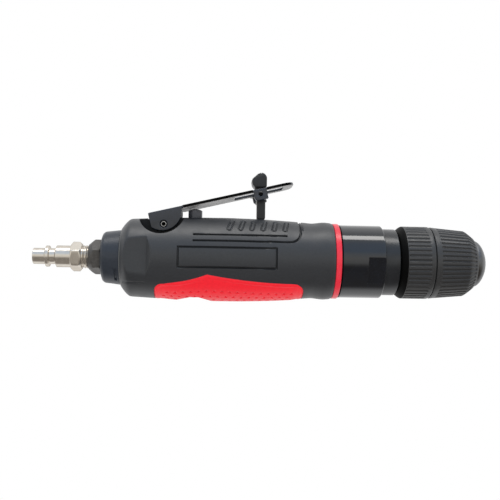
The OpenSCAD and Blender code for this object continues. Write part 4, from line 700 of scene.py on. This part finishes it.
def belly_shell(name, gap, inner, outer, across):
    """A closed shell over the insert's outline, from radius inner(x) to outer(x, turn)."""
    xs = insert_columns(gap)
    edge = -insert_height(xs, gap)
    share = np.linspace(-1, 1, across)
    turn, turn_in = (np.outer(np.arccos(np.clip(edge / radius, -1, 1)), share)
                     for radius in (grip_base(xs), inner(xs)))
    x2 = np.repeat(xs[:, None], across, 1)
    r_out = outer(x2, turn)
    r_in = np.repeat(inner(xs)[:, None], across, 1)
    top = np.stack([x2, r_out * np.sin(turn), -r_out * np.cos(turn)], 2)
    under = np.stack([x2, r_in * np.sin(turn_in), -r_in * np.cos(turn_in)], 2)
    loop = np.concatenate([top, under[:, ::-1]], 1)
    columns, around = loop.shape[:2]
    faces = ring_faces(columns, around, False)
    obj = raw_object(name, loop.reshape(-1, 3), faces[:-2])
    with mesh_work(obj.data) as work:
        work.verts.ensure_lookup_table()
        for start in (0, (columns - 1) * around):
            ring = [work.verts[start + k] for k in range(around)]
            for k in range(across - 1):
                work.faces.new((ring[k], ring[k + 1], ring[around - 2 - k], ring[around - 1 - k]))
        bmesh.ops.recalc_face_normals(work, faces=work.faces)
    return obj


def cut_notch(obj):
    """The flat-bottomed notch across the belly, with the regulator's round hole."""
    rear, front, flat, floor, low, inside = 12.2, 10.3, 2.5, -20.4, -BELLY_R - INSERT_DROP, -16
    outline = [(X_VALVE - rear, low), (X_VALVE - flat, floor), (X_VALVE + flat, floor),
               (X_VALVE + front, low), (X_VALVE + front, -OUTSIDE), (X_VALVE - rear, -OUTSIDE)]
    cut(obj, y_prism("notch", outline, -OUTSIDE, OUTSIDE))
    cut(obj, z_prism("hole", circle(X_VALVE, 0, REGULATOR_HOLE, 64), -OUTSIDE, inside))


def make_grip():
    spots = [PANEL[0] + PANEL_IN, PANEL[1] - PANEL_IN, GROOVE_X, HIGH_END, BEND_X + 2.4, BEND_X + BEND_R,
             FLAT_END + 0.8, X_REAR + 1.5, X_REAR + 0.3]
    spots += [p + s for p, slant in zip(PAD_X, PAD_SLANT) for s in (-PAD_HALF, PAD_HALF + slant)]
    xs = stations(X_REAR, X_GRIP_END, coarse=1.1, fine=0.22, spots=spots, reach=0.7)
    heights = (PANEL[2] - PANEL_DROP - PANEL_IN, PANEL_IN - PANEL_DROP - PANEL[2], LOW_Z, HIGH_Z,
               PAD_LOW - PAD_HALF, PAD_HIGH)
    pad_turns, seam_turn = [30.0, 36.0, 41.0, 45.0, 50.0, 55.0], -41.5
    turns = [math.degrees(math.asin(z / MEAN_R)) for z in heights] + pad_turns + [seam_turn]
    turns += [180 - a for a in turns]
    phis = np.radians(stations(-90, 270, coarse=3.0, fine=0.65, spots=turns, reach=1.6)[:-1])
    x2, p2 = np.meshgrid(xs, phis, indexing="ij")
    radii = grip_radius(x2, p2)
    rear_edge, front_edge = 0.25, 0.3
    radii[0] -= rear_edge
    radii[-1] -= front_edge
    grip = ring_solid("grip_body", polar(xs, radii, phis), False)
    bore_x = [X_REAR - 1, NECK_END, NECK_END, X_GRIP_END + 1]
    bore_r = [NECK_R, NECK_R, HOUSING_R + FIT, HOUSING_R + FIT]
    cut(grip, ring_solid("bore", polar(bore_x, bore_r, full_turn(128)), False))
    proud = 3
    cut(grip, belly_shell("pocket", FIT, lambda x: grip_base(x) - INSERT_DEPTH - FIT,
                          lambda x, turn: grip_base(x) + proud, 60))
    cut_notch(grip)
    button_floor, lug_floor, ridge_floor, lock_floor = 10.0, 12.0, 20.0, 19.4
    cut(grip, z_prism("hole", circle(X_VALVE, 0, BUTTON_HOLE, 64), button_floor, OUTSIDE))
    lug, rib, ear_pocket = 4.7, 5.63, circle(66.95, 23.65, 12.15, 120)
    cut(grip, y_prism("pocket", ear_pocket, rib, OUTSIDE))
    cut(grip, y_prism("pocket", ear_pocket, -OUTSIDE, -rib))
    cut(grip, z_prism("lug", rectangle(X_PIVOT - lug, X_PIVOT + lug, rib), lug_floor, OUTSIDE))
    cut(grip, z_prism("ridge", rectangle(59.4, X_PIVOT - 4, rib + 0.5), ridge_floor, OUTSIDE))
    cut(grip, z_prism("lock_pocket", round_rectangle(105.53, 133.53, 4.2, 1.6, 8), lock_floor, OUTSIDE))
    settle(grip, "grip_sleeve", "housing", 32)

    def look(middle, normal):
        # Rear rim faces: pale look, a painted highlight.
        if middle.x < X_REAR + 0.6 and math.hypot(middle.y, middle.z) > NECK_R + 0.57:
            return 1
        # Side walls of the ear pocket: near-black look, painted shade.
        return 2 if abs(abs(middle.y) - rib) < 0.05 and abs(normal.y) > 0.9 else 0

    add_looks(grip, ("grip_rim_highlight", "pocket_shade"), look)


RIM_FALL, RIM_W, BORDER_W, STEP_W, STEP_FALL = 0.5, 0.9, 1.9, 0.6, 0.22
DIMPLE_PITCH, DIMPLE_R, DIMPLE_DEPTH, DIMPLE_FROM = 4.0, 0.75, 0.5, 71.0
DIMPLE_LOW, DIMPLE_HIGH, ROW_SHARES = 67.5, 136.0, (1.0, 0.68, 0.35, 0.0)
ROW_X, ROW_TURN = [64, 68.7, 91, 95, 131, 141], [29.5, 30.5, 38.0, 38.0, 31.1, 30.0]


def insert_surface(x, turn):
    """Outer radius of the insert: rounded rim, raised border, lower field and rows of dimples."""
    ends = 20
    base = grip_base(x)
    columns = x[:, 0]
    reach = np.abs(turn[:, -1]) * base[:, 0]
    rim_x = np.concatenate([columns, [columns[0]] * ends, [columns[-1]] * ends])
    rim_s = np.concatenate([reach, np.linspace(0, reach[0], ends), np.linspace(0, reach[-1], ends)])
    s = np.abs(turn) * base
    distance = np.full(x.shape, FAR)
    for rx, rs in zip(rim_x, rim_s):
        distance = np.minimum(distance, np.hypot(x - rx, s - rs))
    r = base - RIM_FALL * np.clip(1 - distance / RIM_W, 0, 1) ** 2
    r = r - STEP_FALL * ease(np.clip((distance - BORDER_W) / STEP_W, 0, 1))
    row_reach = np.interp(columns, ROW_X, ROW_TURN)
    inside = (x > DIMPLE_LOW) & (x < DIMPLE_HIGH)
    for k, share in enumerate(ROW_SHARES):
        row = np.radians(row_reach * share)[:, None] * base
        start = DIMPLE_FROM + k % 2 * DIMPLE_PITCH / 2
        near_x = (x - start + DIMPLE_PITCH / 2) % DIMPLE_PITCH - DIMPLE_PITCH / 2
        r = r - np.where(inside, trench(np.hypot(near_x, s - row), DIMPLE_R, DIMPLE_DEPTH), 0)
    r = r + INSERT_DROP * np.maximum(np.cos(turn) - 1 + insert_hang(x), 0)
    return np.minimum(r, bench_depth(x) / np.cos(turn))


def make_insert():
    insert = belly_shell("belly_insert", 0.0, lambda x: grip_base(x) - INSERT_DEPTH, insert_surface, 131)
    cut_notch(insert)
    settle(insert, "grip_insert", "housing", 30)
    insert.visible_diffuse = False


make_grip()
make_insert()


# The air plug and the inlet.
def hexagon(phis, across, turn):
    step = np.pi / 3
    around = (phis - turn + step / 2) % step - step / 2
    return across / 2 / np.cos(around)


def hex_turn(count, turn):
    """Angles with points on the hexagon's edges."""
    return full_turn(count, turn + np.pi / 6)


def make_nipple():
    bore, tip, ring, neck, collar, inner = 3.0, 4.2, 5.55, 4.15, 5.7, 3.5
    turn, across = math.radians(10), 13.6
    plug = Turned(hex_turn(144, turn))
    plug.add_all(rounded([
        (0, tip, 0.5), (X_RING, tip, 0.25), (X_RING + 0.5, ring, 0.3), (X_NECK - 0.5, ring, 0.3),
        (X_NECK, neck, 0.5), (X_COLLAR, neck, 0.5), (X_COLLAR + 0.6, collar, 0.3), (X_HEX, collar, 0),
        (X_HEX, inner, 0), (0, inner, 0)])[:-2])
    steps = (0.0, 0.25, 0.6, 0.9, 1.2)
    for x in [X_HEX + s for s in steps] + [X_THREAD - s for s in reversed(steps)]:
        away = min(x - X_HEX, X_THREAD - x)
        cone = min(across / 2 - 0.25 + away * 1.15, across / math.sqrt(3) + 1)
        plug.add(x, smooth_min(hexagon(plug.phis, across, turn), cone, 0.25))
    pitch, crest, depth, end = 1.3, 6.1, 0.6, X_BUSH + 9
    root = crest - depth
    for x in np.arange(X_THREAD + 0.02, end, pitch / 7):
        share = ((x - X_THREAD) / pitch - plug.phis / (2 * np.pi)) % 1
        r = crest - depth * np.abs(2 * share - 1)
        r = np.minimum(r, root + max(0.0, (x - X_THREAD - 0.6) * 1.2))
        plug.add(x, np.minimum(r, root + max(0.0, end - 0.4 - x)))
    plug.add_all([(end, root), (end, bore + 0.3), (end - 0.4, bore), (0.5, bore), (0.0, bore + 0.5)])
    settle(plug.solid("air_plug"), "air_nipple", "housing", 35)


def make_bushing():
    turn, across = math.radians(11), 16.0
    thread, mouth, corner, lip_r, journal, shank, feed = 6.13, 6.5, 9.24, 8.6, 7.3, 6.6, 4.2
    bush = Turned(hex_turn(144, turn))
    flat = hexagon(bush.phis, across, turn)
    bush.add_all([(X_BUSH, thread), (X_BUSH, 6.45)])
    for x in [*np.linspace(X_BUSH + 0.1, X_BUSH + 4.0, 16), X_SEAT - 0.9, X_SEAT - 0.4, X_SEAT - 0.1]:
        cone = mouth + (corner - mouth) * (x - X_BUSH) / 3.2
        lip = lip_r + (X_SEAT - x) * 1.6
        bush.add(x, smooth_min(smooth_min(flat, cone, 0.3), lip, 0.2))
    bush.add_all([(X_SEAT, 8.45), (X_SEAT, journal), (X_REAR, journal), (X_REAR, shank),
                  (X_REAR + 11.6, shank), (X_REAR + 12, 6.2), (X_REAR + 12, feed), (X_BUSH + 10, feed),
                  (X_BUSH + 10, thread)])
    settle(bush.solid("inlet_bush"), "inlet_bushing", "housing", 28)


def make_cap():
    hub, wall, face, end = 7.36, 12.65, 38.3, X_CAP_END + 0.24
    cap = lathe("exhaust_cap", [
        (X_CAP, hub, 0.3), (X_CAP, 10.6, 1.0), (X_CAP + 0.7, 12.6, 1.0), (X_CAP + 1.9, 13.5, 1.2),
        (end, 14.45, 0.15), (end, wall, 0.2), (face, wall, 0.4), (face, hub, 0.2)])
    hole_x, hole_at, hole_r, hole_half = 41.3, 13.5, 1.2, 0.3
    outline = arc(0, hole_half, hole_r, 0, 180, 8) + arc(0, -hole_half, hole_r, 180, 360, 8)
    for g in range(5):
        angle = math.radians(180 + 20 * g)
        out = np.array([0, -math.sin(angle), math.cos(angle)])
        side = np.array([0, math.cos(angle), math.sin(angle)])
        mid = np.array([hole_x, 0, 0]) + hole_at * out
        rings = np.array([[mid + side * u + np.array([v, 0, 0]) + out * w for u, v in outline]
                          for w in (-2.0, 2.5)])
        cut(cap, outward(ring_solid("hole", rings, False)))
    section = [(43.5, 13.3), (44.8, 13.3), (44.8, 16), (43.5, 16)]
    rings = np.array([[(x, r * math.cos(g), r * math.sin(g)) for x, r in section]
                      for g in np.radians(np.linspace(207, 241, 12))])
    cut(cap, outward(ring_solid("slot", rings, False)))
    settle(cap, "exhaust_deflector", "deflector", 30)


make_nipple()
make_bushing()
make_cap()


# Trim ring, gear case and nose cap.
def make_ring():
    low, high, inner, outer = X_FRONT + 0.05, X_CASE - 0.05, 15.2, 20.0
    ring = lathe("trim_band", [(low, inner, 0.1), (low, outer, 0.45), (high - 0.2, outer, 0.45),
                               (high, 18.6, 0.1), (high, inner, 0.1)])
    settle(ring, "trim_ring", "housing", 30)
    ring.visible_diffuse = False


def make_case():
    spigot, spigot_end, flat_x, flat_half, edge = 151.0, 161.6, 173.75, 18.0, 0.6
    bore, spigot_r, mouth, shade_band = 12.4, 15.17, 16.83, 0.55
    case = Turned(full_turn(288))
    facing = np.maximum(np.abs(np.cos(case.phis - math.radians(17.5))), 0.3)
    case.add_all([(spigot, bore), (spigot, spigot_r), (X_CASE, spigot_r)])
    for x in [X_CASE, X_CASE + 0.12, X_CASE + 0.3, X_CASE + 0.6, *np.linspace(162, 173, 8),
              *np.linspace(173.3, 174.3, 9), *np.linspace(174.8, 181.5, 8),
              X_NOSE - 0.9, X_NOSE - 0.6, X_NOSE - 0.3, X_NOSE - 0.12, X_NOSE]:
        away = min(x - X_CASE, X_NOSE - x)
        r = CASE_R - max(0.0, edge - away) ** 2 / edge * np.ones(len(case.phis))
        if x > flat_x:
            depth = flat_half if x > flat_x + 0.1 else flat_half + 0.6
            r = smooth_min(r, depth / facing, 0.08)
        case.add(x, r)
    case.add_all([(X_NOSE, mouth), (spigot_end, mouth), (spigot_end, bore)])
    housing = settle(case.solid("gear_housing"), "gear_case", "housing", 30)
    # The rear band of the gear case takes the dull black: painted shade in place of its reflection.
    add_looks(housing, ["shade_black"], lambda middle, normal: int(X_CASE < middle.x < X_CASE + shade_band))


def make_nose():
    spigot, seat, spigot_r, outer, bearing, shaft, inner = 171.63, 177.6, 16.8, 17.65, 12.03, 9.5, 12.9
    web = X_NOSE_END - 0.8
    nose = lathe("nose_ring", [
        (spigot, inner, 0), (spigot, spigot_r, 0.2), (X_NOSE, spigot_r, 0), (X_NOSE, outer, 0.2),
        (X_NOSE_END, outer, 0.6), (X_NOSE_END, shaft, 0.2), (web, shaft, 0), (web, bearing, 0),
        (seat, bearing, 0), (seat, inner, 0)])
    settle(nose, "nose_cap", "housing", 30)


make_ring()
make_case()
make_nose()


# The chuck's sleeves.
GROOVES = 48
SHARES = np.array([-3.75, -2.9, -2.25, -1.9, -1.1, 0.0, 1.1, 1.9, 2.25, 2.9])
SLEEVE_PHIS = np.radians((np.arange(GROOVES)[:, None] * 360 / GROOVES + SHARES).ravel())


def knurl(x, radius, low, high):
    """Depth of the long rounded grooves around a sleeve."""
    wheel, sunk, gain = 0.75, 0.3, 1.15
    half = math.sqrt(wheel ** 2 - sunk ** 2)
    pitch = 2 * np.pi / GROOVES
    s = ((SLEEVE_PHIS + pitch / 2) % pitch - pitch / 2) * radius
    beyond = max(low + half - x, x - high + half, 0.0)
    d = np.hypot(s, beyond)
    return np.maximum(np.sqrt(np.maximum(wheel ** 2 - d * d, 0)) - sunk, 0) * gain


def make_rear_sleeve():
    inner, shaft, web = 17.0, 10.03, X_CHUCK + 3
    low, high, groove_end = X_CHUCK + 3.6, X_SPLIT - 2.4, 1.3
    sleeve = Turned(SLEEVE_PHIS)
    sleeve.add_all([(X_CHUCK, 16.2), (X_CHUCK + 0.12, 16.6), (X_CHUCK + 0.4, 17.0), (X_CHUCK + 1.4, 17.95),
                    (X_CHUCK + 2.4, 18.75), (X_CHUCK + 3.0, 19.1), (X_CHUCK + 3.4, 19.25)])
    for x in [*np.linspace(low, low + groove_end, 7), *np.linspace(low + 2, high - 2, 8),
              *np.linspace(high - groove_end, high, 7)]:
        sleeve.add(x, SLEEVE_R - knurl(x, SLEEVE_R, low, high))
    sleeve.add_all([(X_SPLIT - 1.6, SLEEVE_R), (X_SPLIT - 0.9, 19.28), (X_SPLIT - 0.4, 19.1),
                    (X_SPLIT - 0.1, 18.8), (X_SPLIT, 18.5), (X_SPLIT, inner), (web, inner), (web, shaft),
                    (X_CHUCK, shaft)])
    rear = settle(sleeve.solid("rear_sleeve"), "chuck_rear_sleeve", "spindle", 30)
    # The rear chamfer of the sleeve takes the dull black: painted shade.
    add_looks(rear, ["shade_black"], lambda middle, normal:
              int(middle.x < low - 0.2 and math.hypot(middle.y, middle.z) > 15.5))


def make_front_sleeve():
    rim, end, inner, bore, step = 19.1, 13.75, 12.9, 16.33, 220.8
    dome, low, high, taper, bow = X_FEND - 5.2, X_FSLEEVE + 2.8, X_FEND - 1.2, 1.6, 1.15
    sleeve = Turned(SLEEVE_PHIS)
    sleeve.add_all([(X_FSLEEVE, 18.4), (X_FSLEEVE + 0.1, 18.75), (X_FSLEEVE + 0.4, 19.0),
                    (X_FSLEEVE + 0.8, 19.08)])
    slope = taper / (dome - X_FSLEEVE)
    for x in [X_FSLEEVE + 1.8, *np.linspace(low, low + 1.3, 7), *np.linspace(low + 2, dome - 1, 8),
              *np.linspace(dome, X_FEND - 0.3, 20)]:
        base = rim - slope * (min(x, dome) - X_FSLEEVE)
        if x > dome:
            base -= (base - end) * ((x - dome) / (X_FEND - dome)) ** bow
        sleeve.add(x, base - knurl(x, base, low, high))
    sleeve.add_all([(X_FEND, end - 0.15), (X_FEND, inner), (step, inner), (step, bore), (X_FSLEEVE, bore)])
    settle(sleeve.solid("front_sleeve"), "chuck_front_sleeve", "chuck_sleeve", 30)


make_rear_sleeve()
make_front_sleeve()


# The throttle lever and the safety lock.
LEVER_T, LEVER_RISE, LEVER_HALF, LEVER_LIP, RAIL_IN = 2.0, 5.4, 8.0, 1.7, 6.0
LOCK_AT, LOCK_Z = 53.0, 4.6
LOCK_X, LOCK_UP = 118.562, 34.245


def on_lever(points):
    """From lengths along and above the lever's pin to the row's frame."""
    c, s = math.cos(LEVER_SLOPE), math.sin(LEVER_SLOPE)
    x, y, z = points[:, 0], points[:, 1], points[:, 2]
    return np.stack([X_PIVOT + x * c - z * s, y, Z_PIVOT + x * s + z * c], 1)


def make_lever():
    tip, back, nose, thin, lip, bevel = 71.3, 6.8, 5.5, 1.5, 11.4, 0.35
    wide = LEVER_HALF + LEVER_LIP
    notch, ease_in, tab_half, tab_bevel, lock_hole, pin_hole = 3.7, 0.4, 3.6, 0.3, 1.12, 1.95
    near = [(-back, 0.8 - LEVER_HALF), (-back + 0.8, -LEVER_HALF), (lip - 0.4, -LEVER_HALF),
            (lip, -LEVER_HALF - 0.4), (lip, 0.5 - wide), (lip + 0.5, -wide),
            (LOCK_AT - notch - ease_in, -wide), (LOCK_AT - notch, ease_in - wide),
            (LOCK_AT - notch, -LEVER_HALF), (LOCK_AT + notch, -LEVER_HALF),
            (LOCK_AT + notch, ease_in - wide), (LOCK_AT + notch + ease_in, -wide),
            *arc(tip - nose, nose - wide, nose, -90, 0, 12)]
    rim = near + [(x, -y) for x, y in reversed(near)]
    hole = round_rectangle(LOCK_AT - 13.4, LOCK_AT + 12.8, RAIL_IN, 1.2, 6)

    def plan(p):
        return on_lever(np.stack([p[:, 0], p[:, 1], p[:, 2] + LEVER_RISE + LEVER_T - thin / 2], 1))

    lever = plate("lever_plate", [rim, hole], thin, bevel, plan)
    radius, cx, cy, ear_top, corner = 10.2, 0.6, 6.7, LEVER_RISE + LEVER_T - 0.1, 0.5
    fall = cy - math.sqrt(radius ** 2 - (-back - cx) ** 2)
    start = math.degrees(math.atan2(fall - cy, -back - cx))
    end = math.degrees(math.atan2(ear_top - cy, math.sqrt(radius ** 2 - (ear_top - cy) ** 2)))
    ear = [(-back, fall + 0.1), *arc(cx, cy, radius, start, end, 40)[1:],
           (-back + corner, ear_top), (-back, ear_top - corner)]
    deep = LEVER_RISE - 3.9
    tab = [(LOCK_AT - tab_half, ear_top - corner), *arc(LOCK_AT - 2.0, deep + 1.6, 1.6, 180, 270, 6),
           *arc(LOCK_AT + tab_half - corner, deep + corner, corner, 270, 360, 4),
           (LOCK_AT + tab_half, ear_top - corner)]
    for side in (-1, 1):
        def upright(p, mid=side * (LEVER_HALF - LEVER_T / 2)):
            return on_lever(np.stack([p[:, 0], p[:, 2] + mid, p[:, 1]], 1))

        cut(lever, plate("ear", [ear, circle(0, 0, pin_hole)], LEVER_T, bevel, upright), "UNION")
        cut(lever, plate("tab", [tab, circle(LOCK_AT, LOCK_Z, lock_hole)], LEVER_T, tab_bevel, upright),
            "UNION")
    settle(lever, "throttle_lever", "lever", 32)

    def look(middle, normal):
        x, y, z = middle
        above = (z - Z_PIVOT) * math.cos(LEVER_SLOPE) - (x - X_PIVOT) * math.sin(LEVER_SLOPE)
        if x <= X_PIVOT + lip or above <= LEVER_RISE - 0.2:
            return 0
        # Side faces of the lip take the dull black: painted shade in place of their reflection.
        if abs(y) > LEVER_HALF + 0.3 and abs(normal.y) > 0.35:
            return 1
        return 2 if normal.z < -0.5 else 0

    add_looks(lever, ("shade_black", "lever_under"), look)


def make_lock():
    def upright(p):
        return np.stack([p[:, 0] + LOCK_X, p[:, 2], p[:, 1] + LOCK_UP], 1)

    pin, eye, neck = circle(0, 0, 1.06, 28), 2.9, 4.6
    leg_a, leg_b, foot, corner, leg_w, thumb_w = -1.65, 2.8, -12.8, 0.9, 6.2, 10.0
    leg = [*arc(leg_a + corner, foot + corner, corner, 180, 270, 6),
           *arc(leg_b - corner, foot + corner, corner, 270, 360, 6), (leg_b, -0.8),
           *arc(0, 0, eye, -14, 0, 3), (eye, neck), (-eye, neck), *arc(0, 0, eye, 180, 234, 6)]
    lock = plate("flip_lock", [leg, pin], leg_w, 0.45, upright)
    thumb = [(-2.9, 4.0), (3.0, 4.0), (3.4, 4.8), *arc(0.35, 8.9, 3.1, 0, 90, 10), (-1.4, 11.3),
             (-4.2, 8.7), (-4.6, 7.7), (-4.2, 5.6)]
    cut(lock, plate("thumb", [thumb], thumb_w, 0.7, upright), "UNION")
    groove_r, groove_reach = 0.32, 6.0
    for k in range(4):
        x, z = LOCK_X + 0.55 - 1.25 * k, LOCK_UP + 11.75 - 0.92 * k
        groove = circle(x, z, groove_r, 12)
        cut(lock, y_prism("serration", groove, -groove_reach, groove_reach))
    settle(lock, "safety_lock", "lock", 32)


def make_roll_pin():
    end, wall, radius, edge, deep, shut = 8.0, 1.08, 1.5, 0.15, 2.5, 0.02
    half = [(end - deep, shut), (end - deep, wall), (end, wall), (end, radius - edge), (end - edge, radius)]
    outline = [(-y, r) for y, r in half] + half[::-1]
    turns = full_turn(40)
    rings = np.array([[(X_PIVOT + r * math.cos(g), y, Z_PIVOT + r * math.sin(g)) for g in turns]
                      for y, r in outline])
    pin = settle(outward(ring_solid("roll_pin", rings, False)), "lever_pin", "housing", 30)
    # The pin's bore takes the dull black: painted shade in the hole.
    add_looks(pin, ["shade_black"], lambda middle, normal:
              int(math.hypot(middle.x - X_PIVOT, middle.z - Z_PIVOT) < wall + 0.01))


make_lever()
make_lock()
make_roll_pin()


# Springs.
def wire(name, path, radius, sides=12):
    """A round wire along a path, with closed ends."""
    path = np.asarray(path, float)
    ahead = np.gradient(path, axis=0)
    ahead /= np.linalg.norm(ahead, axis=1)[:, None]
    normal = np.cross(ahead[0], [0.3, 0.5, 0.8])
    normal /= np.linalg.norm(normal)
    rings = []
    for p, t in zip(path, ahead):
        normal = normal - t * (normal @ t)
        normal /= np.linalg.norm(normal)
        across = np.cross(t, normal)
        rings.append([p + radius * (math.cos(g) * normal + math.sin(g) * across) for g in full_turn(sides)])
    return outward(ring_solid(name, np.array(rings), False))


def make_springs():
    turns, coil, r, low, high = 5, 2.7, 0.35, -11.12, -3.41
    t = np.linspace(0, 1, turns * 40 + 1)
    g = 2 * np.pi * turns * t
    path = np.stack([X_VALVE + coil * np.cos(g), coil * np.sin(g), low + (high - low) * t], 1)
    spring = wire("valve_coil", path, r)
    settle(spring, "valve_spring", "housing", 40)
    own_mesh(spring)
    coil, r, y0, y1, leg, turns = 1.9, 0.28, 3.5, 5.6, 5.4, 1.75
    t = np.linspace(0, 1, 71)
    g = np.pi - 2 * np.pi * turns * t
    helix = np.stack([coil * np.cos(g), -y0 - (y1 - y0) * t, coil * np.sin(g)], 1)
    first = np.linspace([-coil - r, -y0, -leg], helix[0], 10)[:-1]
    last = np.linspace(helix[-1], [-leg, -y1, -coil], 10)[1:]
    path = np.concatenate([first, helix, last]) + [LOCK_X, 0, LOCK_UP]
    settle(wire("lock_coil", path, r), "lock_spring", "lever", 40)


make_springs()


# CAD nodes that keep their own shapes.
for node_name, node in NODES.items():
    if node.hide_render:
        continue
    node.data.materials.clear()
    node.data.materials.append(look_of(node_name))
    shaded(node.data, 28)
